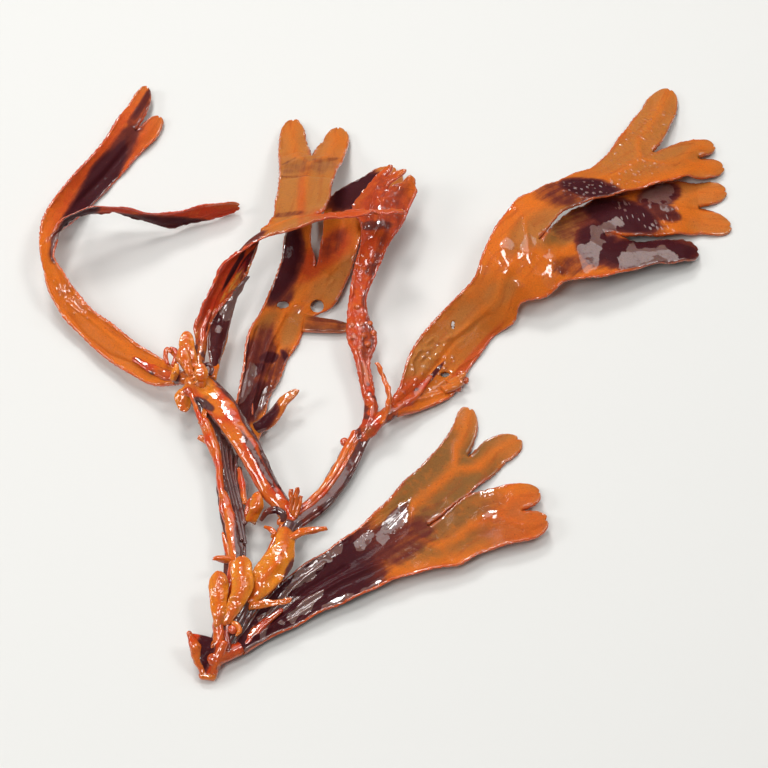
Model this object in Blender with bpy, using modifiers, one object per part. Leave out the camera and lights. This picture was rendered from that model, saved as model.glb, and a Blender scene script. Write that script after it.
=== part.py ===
"""A wet sprig of fucus seaweed, lying on a surface.

Run with blender --background --python part.py, or from Blender's text editor.
Stations are written in millimetres as they are seen looking down at VIEW_TILT degrees: how far
across and up from the middle of the view, then the true height above the surface. laid() turns
them into real places. A blade is a ruled surface between its left and right margins.
"""

import math

import bmesh
import bpy
import numpy as np

MM = 0.001
VIEW_TILT = 55.0
EYE_DISTANCE = 700.0
CENTRE = (1.4, 10.9)

ROW_PITCH = 2.8
COLUMNS = 8
BLADELET_COLUMNS = 4
TWIG_WIDTH = 3.0
KNOB_SIDES = 7
KNOB_RINGS = 5
KNOB_FLATTENED = 0.8
EDGE_THICK = 0.9
TIP_THICKEST = 1.17
RIB_THICK = 2.2
RIB_SPREAD = 0.24
ROOT_THICK = 3.0
ROOT_LENGTH = 14.0
ROOT_THINNING = 0.45
BLADELET_THICK = (1.0, 1.3)
STUB_THICK = (1.6, 2.0)
TOOTH_DEPTH = 0.25
WAVE_LENGTH = 13.0
WAVE_HEIGHT = 0.4
WAVE_PHASE = 1.1
TIP_WAVE = 0.6
TIP_ANGLES = (28.0, 52.0, 72.0)
TIP_BLUNTNESS = 0.8
FORK_FADE = 8.0
FORK_RISE = 0.25
LOWEST_MIDDLE = 0.35
STEM_SIDES = 10
STEM_PITCH = 3.6
STEM_RIDGES = 4
RIDGE_DEPTH = 0.09
SHORT_STEP = 0.05
JOINT_GAP = 0.6
BRANCH_RUN = 1.4
SMALLEST = 1e-9

# Each frond is (rows, ending). A row is left across, up, height, right across, up, height, and the
# rise of the middle. An ending is a tip (across, up, height) or a pair of arms, left then right.
LOWER = (
    [
        (-47.4, -82.2, 4.0, -45.1, -86.7, 4.0, 0.0),
        (-42.9, -74.9, 4.6, -38.1, -82.2, 3.6, -1.0),
        (-35.8, -66.2, 4.6, -29.8, -78.4, 3.6, -1.6),
        (-27.8, -59.2, 4.0, -19.8, -73.0, 4.0, -1.8),
        (-17.9, -52.8, 3.6, -8.6, -68.2, 4.4, -1.8),
        (-7.7, -45.4, 3.0, 2.6, -63.0, 4.6, -1.6),
        (0.3, -37.8, 2.6, 13.1, -59.8, 4.6, -1.4),
        (6.1, -31.4, 2.4, 22.4, -58.2, 4.4, -1.2),
    ],
    (
        (
            [
                (13.1, -25.0, 2.0, 23.4, -38.1, 2.2, -0.4),
                (20.2, -16.6, 0.9, 33.9, -30.1, 1.1, 0.2),
            ],
            (
                ([(22.7, -11.8, 0.4, 29.8, -16.0, 0.4, 0.0)], (27.5, -8.0, 0.4)),
                ([(32.0, -18.2, 0.4, 39.0, -25.3, 0.4, 0.0)], (43.2, -17.6, 0.4)),
            ),
        ),
        (
            [
                (27.5, -35.5, 2.6, 33.0, -53.4, 4.2, -0.6),
                (41.0, -32.0, 3.6, 47.4, -49.6, 4.4, 0.4),
            ],
            (
                ([], (49.9, -34.9, 3.2)),
                ([], (52.2, -43.5, 3.8)),
            ),
        ),
    ),
)
RIGHT = (
    [
        (0.6, -6.7, 6.0, 4.5, -10.6, 5.0, 0.0),
        (4.8, -1.0, 6.5, 13.1, -8.0, 2.5, -0.6),
        (7.7, 8.6, 6.5, 21.8, -3.8, 1.5, -1.0),
        (11.5, 15.0, 6.5, 25.6, 2.2, 1.0, -1.0),
        (16.6, 21.1, 7.5, 30.1, 8.3, 0.6, -0.6),
        (22.7, 27.5, 9.5, 35.2, 15.0, 0.6, 0.2),
        (28.5, 33.6, 12.0, 41.6, 19.8, 2.0, 1.4),
        (31.7, 42.2, 14.5, 44.2, 25.9, 5.5, 2.2),
        (35.2, 49.6, 15.5, 50.9, 27.5, 8.0, 2.6),
        (41.3, 57.9, 15.0, 57.3, 32.3, 9.0, 2.4),
    ],
    (
        (
            [
                (49.9, 62.7, 14.0, 57.9, 55.4, 13.5, 0.8),
                (58.2, 66.2, 12.0, 67.2, 58.9, 12.0, 0.8),
                (67.2, 69.8, 9.0, 77.4, 61.4, 10.0, 0.8),
                (76.8, 81.0, 5.0, 95.4, 66.2, 6.5, 0.8),
            ],
            (
                ([(82.6, 88.3, 2.2, 92.2, 83.5, 2.8, 0.6)], (91.5, 93.8, 0.6)),
                (
                    [
                        (92.8, 76.5, 4.0, 98.2, 66.2, 5.0, 0.5),
                        (98.9, 78.4, 2.5, 102.1, 65.6, 3.0, 0.4),
                    ],
                    (
                        ([], (105.6, 75.8, 0.8)),
                        ([], (108.5, 69.1, 0.8)),
                    ),
                ),
            ),
        ),
        (
            [
                (57.0, 53.4, 8.0, 66.2, 33.9, 9.5, 1.0),
                (66.2, 58.6, 5.5, 74.6, 35.2, 8.5, 1.2),
            ],
            (
                (
                    [
                        (76.8, 62.2, 3.6, 80.6, 47.2, 6.5, 0.8),
                        (86.4, 64.6, 2.4, 91.2, 47.6, 4.8, 0.8),
                        (99.8, 64.4, 0.6, 101.6, 47.8, 0.8, 0.2),
                    ],
                    (
                        ([], (109.4, 61.4, 0.4)),
                        ([], (111.0, 50.2, 0.4)),
                    ),
                ),
                (
                    [
                        (79.4, 45.6, 4.8, 84.5, 37.8, 7.0, 0.8),
                        (94.9, 46.2, 2.8, 96.0, 39.2, 4.6, 0.8),
                    ],
                    (100.2, 41.9, 1.6),
                ),
            ),
        ),
    ),
)
MIDDLE = (
    [
        (-43.6, -18.2, 5.5, -41.0, -20.2, 5.0, 0.0),
        (-47.0, -11.5, 5.5, -38.6, -14.1, 2.5, 0.0),
        (-47.7, -6.7, 6.0, -37.1, -5.8, 1.0, -0.8),
        (-46.1, -0.3, 6.0, -33.9, 0.3, 0.8, -1.0),
        (-44.8, 8.6, 6.0, -30.4, 8.3, 0.6, -1.0),
        (-43.5, 16.3, 6.0, -27.2, 13.1, 0.6, -0.8),
        (-39.7, 23.0, 6.0, -24.0, 20.2, 1.0, -0.4),
        (-36.2, 30.7, 6.0, -16.3, 25.0, 2.0, 0.4),
        (-33.0, 39.0, 5.0, -10.9, 35.2, 3.0, 0.6),
    ],
    (
        (
            [
                (-32.0, 46.7, 4.0, -23.4, 45.1, 4.0, 0.4),
                (-30.1, 52.5, 2.5, -23.0, 51.8, 2.5, 0.4),
            ],
            (-26.6, 56.3, 1.0),
        ),
        (
            [
                (-19.8, 47.4, 3.5, -8.6, 42.9, 4.0, 0.6),
                (-17.4, 59.8, 2.6, -4.4, 51.8, 4.0, 0.6),
                (-8.2, 65.2, 2.0, 1.4, 57.2, 3.4, 0.4),
            ],
            (4.4, 68.0, 1.4),
        ),
    ),
)
ARCHED = (
    [
        (-57.0, 12.2, 9.0, -60.2, 12.8, 9.0, 0.0),
        (-55.7, 17.9, 10.0, -60.5, 18.2, 12.0, 0.6),
        (-53.4, 23.0, 11.0, -58.2, 23.7, 15.0, 1.2),
        (-49.3, 27.2, 12.0, -55.0, 30.4, 18.0, 1.6),
        (-45.1, 32.6, 13.0, -51.8, 36.8, 21.0, 1.8),
        (-41.9, 39.0, 15.0, -47.4, 41.3, 23.0, 2.0),
        (-40.6, 44.2, 17.5, -40.3, 45.4, 25.0, 2.0),
        (-39.0, 48.0, 19.5, -30.7, 49.0, 26.0, 1.8),
        (-37.4, 50.6, 20.5, -18.9, 52.2, 26.0, 1.4),
        (-35.8, 52.5, 21.0, -6.4, 54.1, 25.0, 0.8),
    ],
    (
        (
            [
                (-34.9, 57.9, 19.5, -17.9, 57.9, 20.0, 0.6),
                (-33.6, 65.3, 15.5, -16.3, 65.0, 16.0, 0.5),
                (-33.9, 73.0, 8.5, -12.8, 72.0, 7.5, 0.4),
            ],
            (
                ([(-33.6, 78.1, 4.5, -25.0, 78.1, 4.5, 0.4)], (-29.1, 83.8, 1.6)),
                ([(-19.5, 77.4, 2.6, -11.2, 77.1, 2.2, 0.3)], (-14.7, 81.3, 0.6)),
            ),
        ),
        (
            [(-3.8, 55.4, 18.5, -0.3, 54.4, 24.5, 0.2)],
            (6.4, 54.6, 21.0),
        ),
    ),
)
KNOBBLY = (
    [
        (-5.8, -8.0, 6.4, -2.4, -8.0, 6.4, 0.0),
        (-7.4, -1.3, 7.0, -3.2, -0.6, 7.0, -0.5),
        (-9.3, 7.7, 8.0, -4.5, 7.0, 8.0, -0.6),
        (-11.8, 14.7, 8.5, -2.2, 14.1, 8.5, 0.6),
        (-11.8, 20.5, 8.5, -4.8, 21.1, 8.5, 0.6),
        (-10.9, 29.4, 9.5, -5.4, 28.2, 9.5, -0.6),
        (-9.3, 37.1, 11.0, -2.9, 36.2, 11.0, -0.8),
        (-7.4, 45.1, 11.5, 1.0, 43.5, 11.5, 0.8),
        (-7.6, 51.2, 11.0, 5.8, 51.0, 11.5, 1.6),
        (-10.0, 56.6, 9.5, 9.0, 57.6, 11.5, 2.6),
        (-7.4, 60.6, 9.5, 10.6, 61.6, 12.0, 2.4),
    ],
    (
        (
            [(-2.6, 66.2, 11.5, 4.4, 65.4, 13.0, 0.6)],
            (([], (2.2, 69.6, 13.0)), ([], (6.4, 68.4, 13.4))),
        ),
        ([(6.0, 64.4, 13.0, 9.8, 63.6, 12.4, 0.4)], (8.8, 66.2, 13.0)),
    ),
)
LEFT = (
    [
        (-66.6, -0.3, 8.0, -65.3, 4.5, 9.0, 0.0),
        (-73.3, -0.6, 6.0, -71.7, 8.6, 8.5, -0.6),
        (-81.3, 3.2, 5.0, -78.7, 12.8, 8.5, -0.8),
        (-89.6, 8.6, 4.0, -86.7, 19.2, 8.5, -0.8),
        (-97.9, 16.3, 4.0, -93.4, 24.0, 9.0, -0.8),
        (-103.4, 22.4, 5.0, -98.2, 29.4, 10.0, -0.8),
        (-106.9, 28.8, 7.0, -102.1, 35.2, 12.0, -0.6),
        (-109.1, 36.5, 9.0, -105.3, 40.3, 13.0, -0.4),
        (-110.1, 43.8, 10.0, -104.6, 46.1, 14.0, 0.0),
    ],
    (
        (
            [
                (-110.1, 49.3, 10.0, -103.7, 48.6, 9.0, -0.4),
                (-108.2, 55.4, 9.0, -97.9, 53.1, 4.0, -0.8),
                (-104.6, 60.8, 8.0, -91.8, 58.6, 0.8, -1.4),
                (-98.2, 68.5, 7.0, -85.1, 65.6, 0.6, -1.6),
                (-91.8, 75.2, 6.0, -79.7, 71.7, 0.8, -1.2),
                (-85.4, 84.8, 5.0, -73.3, 78.1, 1.5, -0.6),
            ],
            (
                ([(-81.3, 89.9, 4.0, -76.2, 85.8, 3.6, 0.0)], (-75.5, 94.7, 3.0)),
                ([], (-71.7, 85.4, 1.4)),
            ),
        ),
        (
            [
                (-103.0, 52.8, 17.0, -102.4, 50.6, 10.5, 0.2),
                (-95.7, 56.0, 19.0, -95.4, 54.1, 11.0, 0.3),
                (-87.0, 57.0, 18.0, -87.7, 54.7, 9.5, 0.3),
                (-78.1, 55.4, 14.0, -78.7, 52.8, 6.0, 0.3),
                (-69.8, 54.7, 10.0, -69.8, 50.2, 2.0, 0.4),
                (-61.4, 56.6, 9.0, -60.8, 51.5, 0.8, 0.4),
                (-54.1, 57.9, 8.0, -53.1, 53.4, 0.6, 0.4),
            ],
            (-46.4, 57.0, 3.0),
        ),
    ),
)
FRONDS = {
    "frond_lower": LOWER,
    "frond_right": RIGHT,
    "frond_middle": MIDDLE,
    "frond_arched": ARCHED,
    "frond_knobbly": KNOBBLY,
    "frond_left": LEFT,
}

# A stem is a list of across, up, height, half its width, half its depth.
STEM_LEFT = [
    (-54.4, -85.1, 4.6, 2.2, 1.8),
    (-51.8, -77.1, 6.0, 2.4, 1.8),
    (-49.6, -67.5, 6.0, 2.8, 1.6),
    (-48.0, -56.3, 6.0, 3.4, 1.6),
    (-48.0, -46.7, 5.5, 3.8, 1.6),
    (-49.6, -37.1, 5.5, 4.2, 1.6),
    (-50.2, -27.5, 6.0, 4.2, 1.6),
    (-52.5, -20.2, 7.0, 3.6, 1.8),
    (-56.0, -13.1, 8.0, 3.0, 1.8),
    (-58.9, -5.8, 9.0, 3.0, 2.0),
    (-60.8, 1.3, 9.5, 3.0, 2.2),
]
STEM_MIDDLE = [
    (-30.1, -43.5, 6.0, 2.6, 2.0),
    (-32.6, -39.0, 7.5, 2.6, 2.2),
    (-36.5, -33.9, 9.0, 3.0, 2.4),
    (-40.0, -27.5, 10.0, 3.3, 2.5),
    (-43.8, -20.5, 11.0, 3.8, 2.6),
    (-47.7, -14.1, 11.5, 4.0, 2.6),
    (-52.2, -7.0, 11.0, 4.4, 2.6),
    (-56.6, -2.6, 10.0, 4.2, 2.5),
    (-60.5, 1.3, 9.5, 3.5, 2.5),
]
STEM_RIGHT = [
    (-31.4, -45.4, 6.0, 3.0, 2.0),
    (-26.2, -41.9, 5.2, 3.0, 1.9),
    (-19.8, -36.8, 4.0, 3.4, 1.8),
    (-15.0, -30.7, 3.4, 3.6, 1.8),
    (-11.2, -23.7, 3.6, 3.4, 1.8),
    (-7.7, -17.3, 5.0, 3.0, 1.8),
]
STEM_BASE = [
    (-52.4, -84.5, 4.6, 2.0, 1.6),
    (-46.7, -73.9, 6.6, 1.8, 1.5),
    (-42.2, -65.3, 7.5, 1.8, 1.5),
    (-37.4, -57.0, 7.5, 1.8, 1.5),
    (-33.6, -50.6, 7.0, 2.0, 1.6),
    (-30.6, -45.0, 6.2, 2.2, 1.8),
]
# Each of these ends just short of the frond that it carries.
BRANCHES = {
    "frond_left": [(-58.5, 0.6, 9.8, 3.0, 2.3), (-61.8, 2.0, 9.2, 2.6, 2.1)],
    "frond_arched": [(-60.0, 0.0, 9.6, 2.4, 2.2), (-59.4, 6.5, 9.2, 2.0, 1.9)],
    "frond_middle": [(-44.6, -22.4, 9.8, 1.8, 1.6), (-43.4, -21.2, 7.4, 1.7, 1.5)],
    "frond_knobbly": [(-7.7, -17.3, 5.0, 2.8, 1.8), (-4.9, -13.4, 5.8, 2.3, 1.8)],
    "frond_right": [(-6.2, -15.6, 5.4, 2.6, 1.8), (-1.8, -11.8, 5.8, 2.4, 1.8)],
    "frond_lower": [(-55.0, -88.0, 4.0, 2.4, 1.8), (-50.6, -86.6, 4.2, 2.2, 1.7)],
}

# What grows from a frond's own surface: the spike and the strap of the middle one, and the frill
# beside the root of the right one.
SPROUTS = {
    "frond_middle": [
        (
            [
                (-43.0, -13.6, 4.0, -41.4, -16.8, 4.0, 0.0),
                (-38.0, -10.2, 4.6, -34.8, -13.0, 4.2, 0.6),
                (-33.4, -4.6, 5.8, -30.8, -6.6, 5.6, 0.2),
            ],
            (-27.6, -1.8, 7.0),
        ),
        (
            [
                (-26.0, 22.4, 2.0, -26.0, 16.6, 1.4, 0.0),
                (-20.4, 21.0, 1.6, -20.4, 16.4, 1.4, 0.2),
            ],
            (-10.8, 18.0, 1.6),
        ),
    ],
    "frond_right": [
        ([(17.6, -1.0, 2.2, 19.6, -3.4, 1.8, 0.0)], (25.4, 0.6, 4.2)),
        ([(19.6, 0.6, 2.0, 21.4, -1.4, 1.6, 0.0)], (26.2, 3.2, 3.6)),
    ],
}
# Round knobs on a frond or on the stem: across, up, height of the middle, radius.
KNOBS = {
    "frond_knobbly": [
        (-9.6, 18.6, 9.4, 1.5),
        (-6.4, 18.2, 9.6, 1.5),
        (-9.2, 14.4, 9.4, 1.4),
        (-5.8, 13.2, 9.6, 1.5),
        (-3.8, 15.6, 9.2, 1.3),
        (-7.4, 10.8, 9.0, 1.3),
        (-8.4, 24.4, 9.8, 1.2),
    ],
    "frond_right": [
        (24.6, 3.4, 2.2, 1.3),
        (26.0, 1.2, 2.2, 1.2),
        (23.6, -1.4, 2.0, 1.3),
    ],
    "stipe": [
        (-62.6, -2.6, 9.6, 1.8),
        (-55.4, -4.8, 9.6, 1.7),
        (-12.6, -18.6, 4.6, 1.5),
        (-48.4, -78.6, 7.4, 1.5),
    ],
}
# Quads left out of a frond's first stretch: row, then columns.
HOLES = {"frond_middle": {20: (6,), 21: (2, 6)}}

# A bladelet is rows and a tip, as an arm is. The stub is open at its cut end, so it has no tip.
STUB = (
    [
        (-58.2, -93.4, 1.0, -54.4, -93.8, 1.0, -0.4),
        (-60.2, -87.0, 4.8, -52.8, -88.4, 4.8, -3.4),
        (-62.6, -79.6, 8.4, -51.0, -82.8, 8.0, -6.4),
    ],
    None,
)
BLADELETS = [
    # The orange pair above the cut base
    (
        [
            (-52.8, -77.8, 7.0, -50.2, -76.8, 6.6, 0.0),
            (-50.4, -71.6, 9.0, -45.4, -71.6, 9.0, 0.6),
            (-48.8, -65.9, 11.0, -41.8, -65.3, 11.0, 1.0),
            (-49.2, -59.8, 11.5, -42.2, -58.8, 11.0, 0.6),
        ],
        (-45.6, -55.6, 10.5),
    ),
    (
        [
            (-54.0, -79.4, 6.6, -52.0, -78.8, 6.6, 0.0),
            (-55.4, -71.8, 9.4, -50.6, -71.2, 9.0, 0.6),
            (-56.2, -65.2, 10.6, -49.6, -65.4, 9.6, 0.8),
        ],
        (-52.8, -60.4, 10.6),
    ),
    # The broad orange wing that runs up to the junction
    (
        [
            (-44.6, -69.8, 7.0, -42.6, -71.4, 6.6, 0.0),
            (-42.2, -60.2, 9.4, -34.6, -65.2, 8.2, 0.8),
            (-38.8, -55.4, 10.6, -29.2, -58.2, 8.8, 1.4),
            (-35.0, -51.2, 10.4, -28.6, -52.8, 9.0, 1.2),
        ],
        (-31.4, -46.4, 6.6),
    ),
    # Its thin pointed tip
    (
        [
            (-31.4, -49.2, 8.4, -30.6, -51.6, 8.2, 0.0),
            (-26.8, -46.6, 9.4, -26.4, -48.6, 9.2, 0.2),
        ],
        (-18.4, -46.2, 9.0),
    ),
    # Twigs at the base
    ([(-47.4, -57.6, 6.6, -47.4, -55.4, 7.0, 0.0)], (-54.8, -55.8, 8.6)),
    ([(-43.6, -72.6, 7.0, -43.4, -70.4, 7.4, 0.0)], (-29.6, -69.4, 9.4)),
    # Fingers and lobes at the junction
    ([(-30.6, -42.0, 6.4, -29.0, -42.0, 6.4, 0.0)], (-29.6, -33.6, 12.5)),
    ([(-30.0, -42.4, 6.4, -28.2, -42.6, 6.4, 0.0)], (-27.6, -33.0, 12.0)),
    ([(-29.2, -43.0, 6.2, -27.6, -43.4, 6.2, 0.0)], (-26.4, -35.8, 9.5)),
    (
        [
            (-45.4, -44.0, 5.4, -40.8, -44.4, 5.4, 0.0),
            (-42.8, -39.8, 8.5, -38.6, -39.2, 8.5, 0.5),
        ],
        (-40.6, -35.0, 9.5),
    ),
    # Lobes of the left cluster
    (
        [
            (-61.4, 4.4, 10.6, -59.2, 4.6, 10.6, 0.0),
            (-65.6, 12.2, 12.5, -60.6, 12.4, 12.5, 0.5),
        ],
        (-63.2, 16.2, 12.5),
    ),
    (
        [
            (-62.6, 2.0, 10.6, -60.6, 2.6, 10.6, 0.0),
            (-65.8, 7.4, 12.5, -62.2, 7.8, 12.5, 0.5),
        ],
        (-64.6, 11.2, 12.8),
    ),
    ([(-61.6, 1.8, 9.8, -60.6, 3.6, 9.9, 0.0)], (-68.6, 11.2, 12.6)),
    (
        [
            (-60.0, -1.0, 11.0, -57.0, -1.0, 11.0, 0.0),
            (-60.4, 3.0, 14.5, -56.4, 3.0, 14.5, 0.6),
        ],
        (-58.4, 5.6, 14.5),
    ),
    (
        [
            (-60.6, -1.4, 9.4, -62.4, 0.4, 9.0, 0.0),
            (-61.6, -4.6, 8.2, -66.8, -3.8, 8.2, 0.5),
        ],
        (-64.2, -8.8, 6.4),
    ),
    (
        [
            (-56.4, 1.2, 9.4, -53.6, 1.2, 9.0, 0.0),
            (-55.4, 7.6, 7.4, -52.2, 7.6, 7.0, 0.2),
            (-55.6, 13.8, 6.6, -50.0, 14.0, 6.6, 0.4),
        ],
        (-51.6, 22.4, 7.0),
    ),
    # Torn wings on the left stem
    ([(-52.2, -22.0, 6.6, -53.0, -18.4, 7.4, 0.0)], (-59.2, -17.0, 6.4)),
    ([(-57.4, -7.4, 9.0, -55.2, -6.8, 9.4, 0.0)], (-58.8, -12.8, 9.5)),
    # The thin twig beside the knobbly frond
    (
        [
            (-1.8, -13.2, 6.4, -0.2, -12.8, 6.2, 0.0),
            (1.0, -5.2, 10.6, 2.4, -4.8, 10.6, 0.0),
            (-0.8, 2.4, 11.0, 0.2, 3.0, 11.0, 0.0),
        ],
        (-2.4, 6.6, 11.0),
    ),
]


def laid(across, up, height):
    """Where the line of sight through (across, up) is at this height above the surface."""
    tilt = math.radians(VIEW_TILT)
    eye = np.array([0.0, -EYE_DISTANCE * math.cos(tilt), EYE_DISTANCE * math.sin(tilt)])
    seen = np.array([across, up * math.sin(tilt), up * math.cos(tilt)])
    reach = (height - eye[2]) / (seen[2] - eye[2])
    return eye + reach * (seen - eye)


def unit(vectors):
    return vectors / np.maximum(np.linalg.norm(vectors, axis=-1, keepdims=True), SMALLEST)


def smooth(knots, values, at):
    """A smooth curve through the values at the knots, read at other places (cubic Hermite)."""
    slopes = np.gradient(values, knots, axis=0)
    i = np.clip(np.searchsorted(knots, at, side="right") - 1, 0, len(knots) - 2)
    span = knots[i + 1] - knots[i]
    t = ((at - knots[i]) / span)[:, None]
    span = span[:, None]
    start = (1 + 2 * t) * (1 - t) ** 2 * values[i] + t * (1 - t) ** 2 * span * slopes[i]
    end = t**2 * (3 - 2 * t) * values[i + 1] - t**2 * (1 - t) * span * slopes[i + 1]
    return start + end


class Sheet:
    """An open surface as it grows: its points, how thick it is at each, and its triangles."""

    def __init__(self):
        self.points = []
        self.thick = []
        self.faces = []

    def add_row(self, points, thick):
        first = len(self.points)
        self.points.extend(points)
        self.thick.extend(thick)
        return list(range(first, len(self.points)))

    def join_rows(self, lower, upper, skipped=()):
        for j in range(len(lower) - 1):
            if j in skipped:
                continue
            a, b, c, d = lower[j], lower[j + 1], upper[j + 1], upper[j]
            self.faces += [(a, b, c), (a, c, d)] if j % 2 else [(a, b, d), (b, c, d)]


def thickness(w, length_from_root, split, edge, rib):
    """Thin at the margins, thick along the midrib, which parts in two before a fork."""
    ribs = [np.exp(-(((w - side * 0.5 * split) / RIB_SPREAD) ** 2)) for side in (-1.0, 1.0)]
    thick = edge + (rib - edge) * np.maximum(*ribs)
    root = max(0.0, 1.0 - length_from_root / ROOT_LENGTH)
    return thick * (1 - root) + ROOT_THICK * (1 - ROOT_THINNING * w**2) * root


def grow(sheet, arm, columns, start=None, before=None, length=0.0, options=None):
    """Adds one arm, then what it ends in.

    start is the row that it shares with the arm it grows from: the ids of its points, its left
    and right points and the rise of its middle. before is the row that came before that one.
    """
    rows, ending = arm
    rows = [(laid(*row[0:3]), laid(*row[3:6]), row[6]) for row in rows]
    if start:
        rows = [start[1:], *rows]
    is_tip = isinstance(ending, tuple) and len(ending) == 3 and isinstance(ending[0], float)
    known = ([before] if before else []) + rows
    left = np.array([row[0] for row in known])
    right = np.array([row[1] for row in known])
    rise = np.array([[row[2]] for row in known])
    middle = (left + right) / 2
    steps = np.linalg.norm(np.diff(middle, axis=0), axis=1)
    knots = np.concatenate([[0.0], np.cumsum(steps)])
    if before:
        knots = knots - knots[1]
    w = np.linspace(-1.0, 1.0, columns + 1)
    end = knots[-1]
    count = max(1, round(end / ROW_PITCH)) if end > 0.0 else 0
    at = np.linspace(0.0, end, count + 1)[1 if start else 0 :]
    if len(known) > 1:
        lefts = smooth(knots, left, at)
        rights = smooth(knots, right, at)
        rises = smooth(knots, rise, at)[:, 0]
    else:
        lefts, rights, rises = left, right, rise[:, 0]
    ids = start[0] if start else None
    previous = (start[1], start[2], start[3]) if start else None
    if is_tip:
        last = (lefts[-1], rights[-1], rises[-1]) if len(at) else (start[1], start[2], start[3])
        centre = (last[0] + last[1]) / 2
        half = (last[1] - last[0]) / 2
        reach = laid(*ending) - centre
        top = math.sin(math.radians(TIP_ANGLES[-1]))
        for angle in TIP_ANGLES:
            along = math.sin(math.radians(angle)) / top
            narrow = math.cos(math.radians(angle)) ** TIP_BLUNTNESS
            lefts = np.vstack([lefts, centre + reach * along - half * narrow])
            rights = np.vstack([rights, centre + reach * along + half * narrow])
            rises = np.append(rises, last[2] * narrow)
            at = np.append(at, end + along * np.linalg.norm(reach))
    middles = (lefts + rights) / 2
    if start:
        middles = np.vstack([(start[1] + start[2]) / 2, middles])
    headings = unit(np.gradient(middles, axis=0))[-len(at) :]
    skip = options.get("holes", {})
    if not start:
        slant = (rights[0] - lefts[0]) @ headings[0] * headings[0] / 2
        lefts[0] += slant
        rights[0] -= slant
    for i, s in enumerate(at):
        across = rights[i] - lefts[i]
        normal = unit(np.cross(across, headings[i]))
        fade = min(1.0, (s if start else length + s) / FORK_FADE)
        tip_fade = 1.0 if s <= end else TIP_WAVE
        wave = np.sin(2 * math.pi * (length + s) / WAVE_LENGTH + np.sign(w) * WAVE_PHASE)
        lift = rises[i] * (1 - w**2) + WAVE_HEIGHT * fade * tip_fade * np.abs(w) ** 3 * wave
        row = lefts[i] + across * (w[:, None] + 1) / 2 + normal * lift[:, None]
        tooth = TOOTH_DEPTH * fade * (1 if i % 2 else -1) * (s < end - SHORT_STEP)
        row[0] -= unit(across) * tooth
        row[-1] += unit(across) * tooth
        row[:, 2] = np.maximum(row[:, 2], LOWEST_MIDDLE)
        split = 0.0
        if not is_tip and ending is not None:
            split = max(0.0, 1.0 - (end - s) / FORK_FADE)
        thick = thickness(w, length + s, split, *options.get("thick", (EDGE_THICK, RIB_THICK)))
        if s > end:
            thick = np.minimum(thick, TIP_THICKEST)
        new = sheet.add_row(row, thick)
        if ids:
            sheet.join_rows(ids, new, () if start else skip.get(i, ()))
        ids = new
        if i < len(at) - 1:
            previous = (lefts[i], rights[i], rises[i])
    if is_tip or ending is None:
        return
    final = (lefts[-1], rights[-1], rises[-1])
    half = columns // 2
    raised = sheet.points[ids[half]]
    raised_before = (previous[0] + previous[1]) / 2
    raised_before = raised_before + (raised - (final[0] + final[1]) / 2)
    grow(
        sheet,
        ending[0],
        half,
        (ids[: half + 1], final[0], raised, final[2] * FORK_RISE),
        (previous[0], raised_before, previous[2] * FORK_RISE),
        length + end,
        options,
    )
    grow(
        sheet,
        ending[1],
        half,
        (ids[half:], raised, final[1], final[2] * FORK_RISE),
        (raised_before, previous[1], previous[2] * FORK_RISE),
        length + end,
        options,
    )


def object_from(name, points, faces, collection):
    mesh = bpy.data.meshes.new(name)
    scaled = (np.array(points) - np.array([*CENTRE, 0.0])) * MM
    mesh.from_pydata(scaled.tolist(), [], faces)
    obj = bpy.data.objects.new(name, mesh)
    collection.objects.link(obj)
    return obj


def pressed_flat(obj):
    """Applies the object's modifiers, and flattens it where it meets the surface."""
    graph = bpy.context.evaluated_depsgraph_get()
    mesh = bpy.data.meshes.new_from_object(obj.evaluated_get(graph), depsgraph=graph)
    obj.modifiers.clear()
    old = obj.data
    obj.data = mesh
    bpy.data.meshes.remove(old)
    for vertex in mesh.vertices:
        vertex.co.z = max(vertex.co.z, 0.0)
    bm = bmesh.new()
    bm.from_mesh(mesh)
    bmesh.ops.triangulate(bm, faces=[f for f in bm.faces if len(f.verts) > 3])
    bmesh.ops.recalc_face_normals(bm, faces=bm.faces)
    bm.to_mesh(mesh)
    bm.free()


def blade(name, arm, columns, collection, options=None):
    """A closed blade: the sheet of an arm and of all that grows from it, made solid."""
    sheet = Sheet()
    grow(sheet, arm, columns, options=options or {})
    obj = object_from(name, sheet.points, sheet.faces, collection)
    group = obj.vertex_groups.new(name="thickness")
    thickest = max(sheet.thick)
    for i, thick in enumerate(sheet.thick):
        group.add([i], thick / thickest, "REPLACE")
    solid = obj.modifiers.new("Solidify", "SOLIDIFY")
    solid.thickness = thickest * MM
    solid.offset = 0.0
    solid.vertex_group = group.name
    solid.thickness_vertex_group = 0.0
    pressed_flat(obj)
    return obj


def bladelet(arm, collection):
    """A small blade: two columns make a twig, and more a leaf."""
    widest = max(math.dist(row[0:3], row[3:6]) for row in arm[0])
    columns = BLADELET_COLUMNS if widest > TWIG_WIDTH else BLADELET_COLUMNS // 2
    return blade("bladelet", arm, columns, collection, {"thick": BLADELET_THICK})


def knob(across, up, height, radius, collection):
    """A small round knob, flattened a little."""
    mesh = bpy.data.meshes.new("knob")
    bm = bmesh.new()
    bmesh.ops.create_uvsphere(bm, u_segments=KNOB_SIDES, v_segments=KNOB_RINGS, radius=radius * MM)
    bmesh.ops.scale(bm, vec=(1.0, 1.0, KNOB_FLATTENED), verts=bm.verts)
    centre = (laid(across, up, height) - np.array([*CENTRE, 0.0])) * MM
    bmesh.ops.translate(bm, vec=centre, verts=bm.verts)
    bm.to_mesh(mesh)
    bm.free()
    obj = bpy.data.objects.new("knob", mesh)
    collection.objects.link(obj)
    return obj


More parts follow.
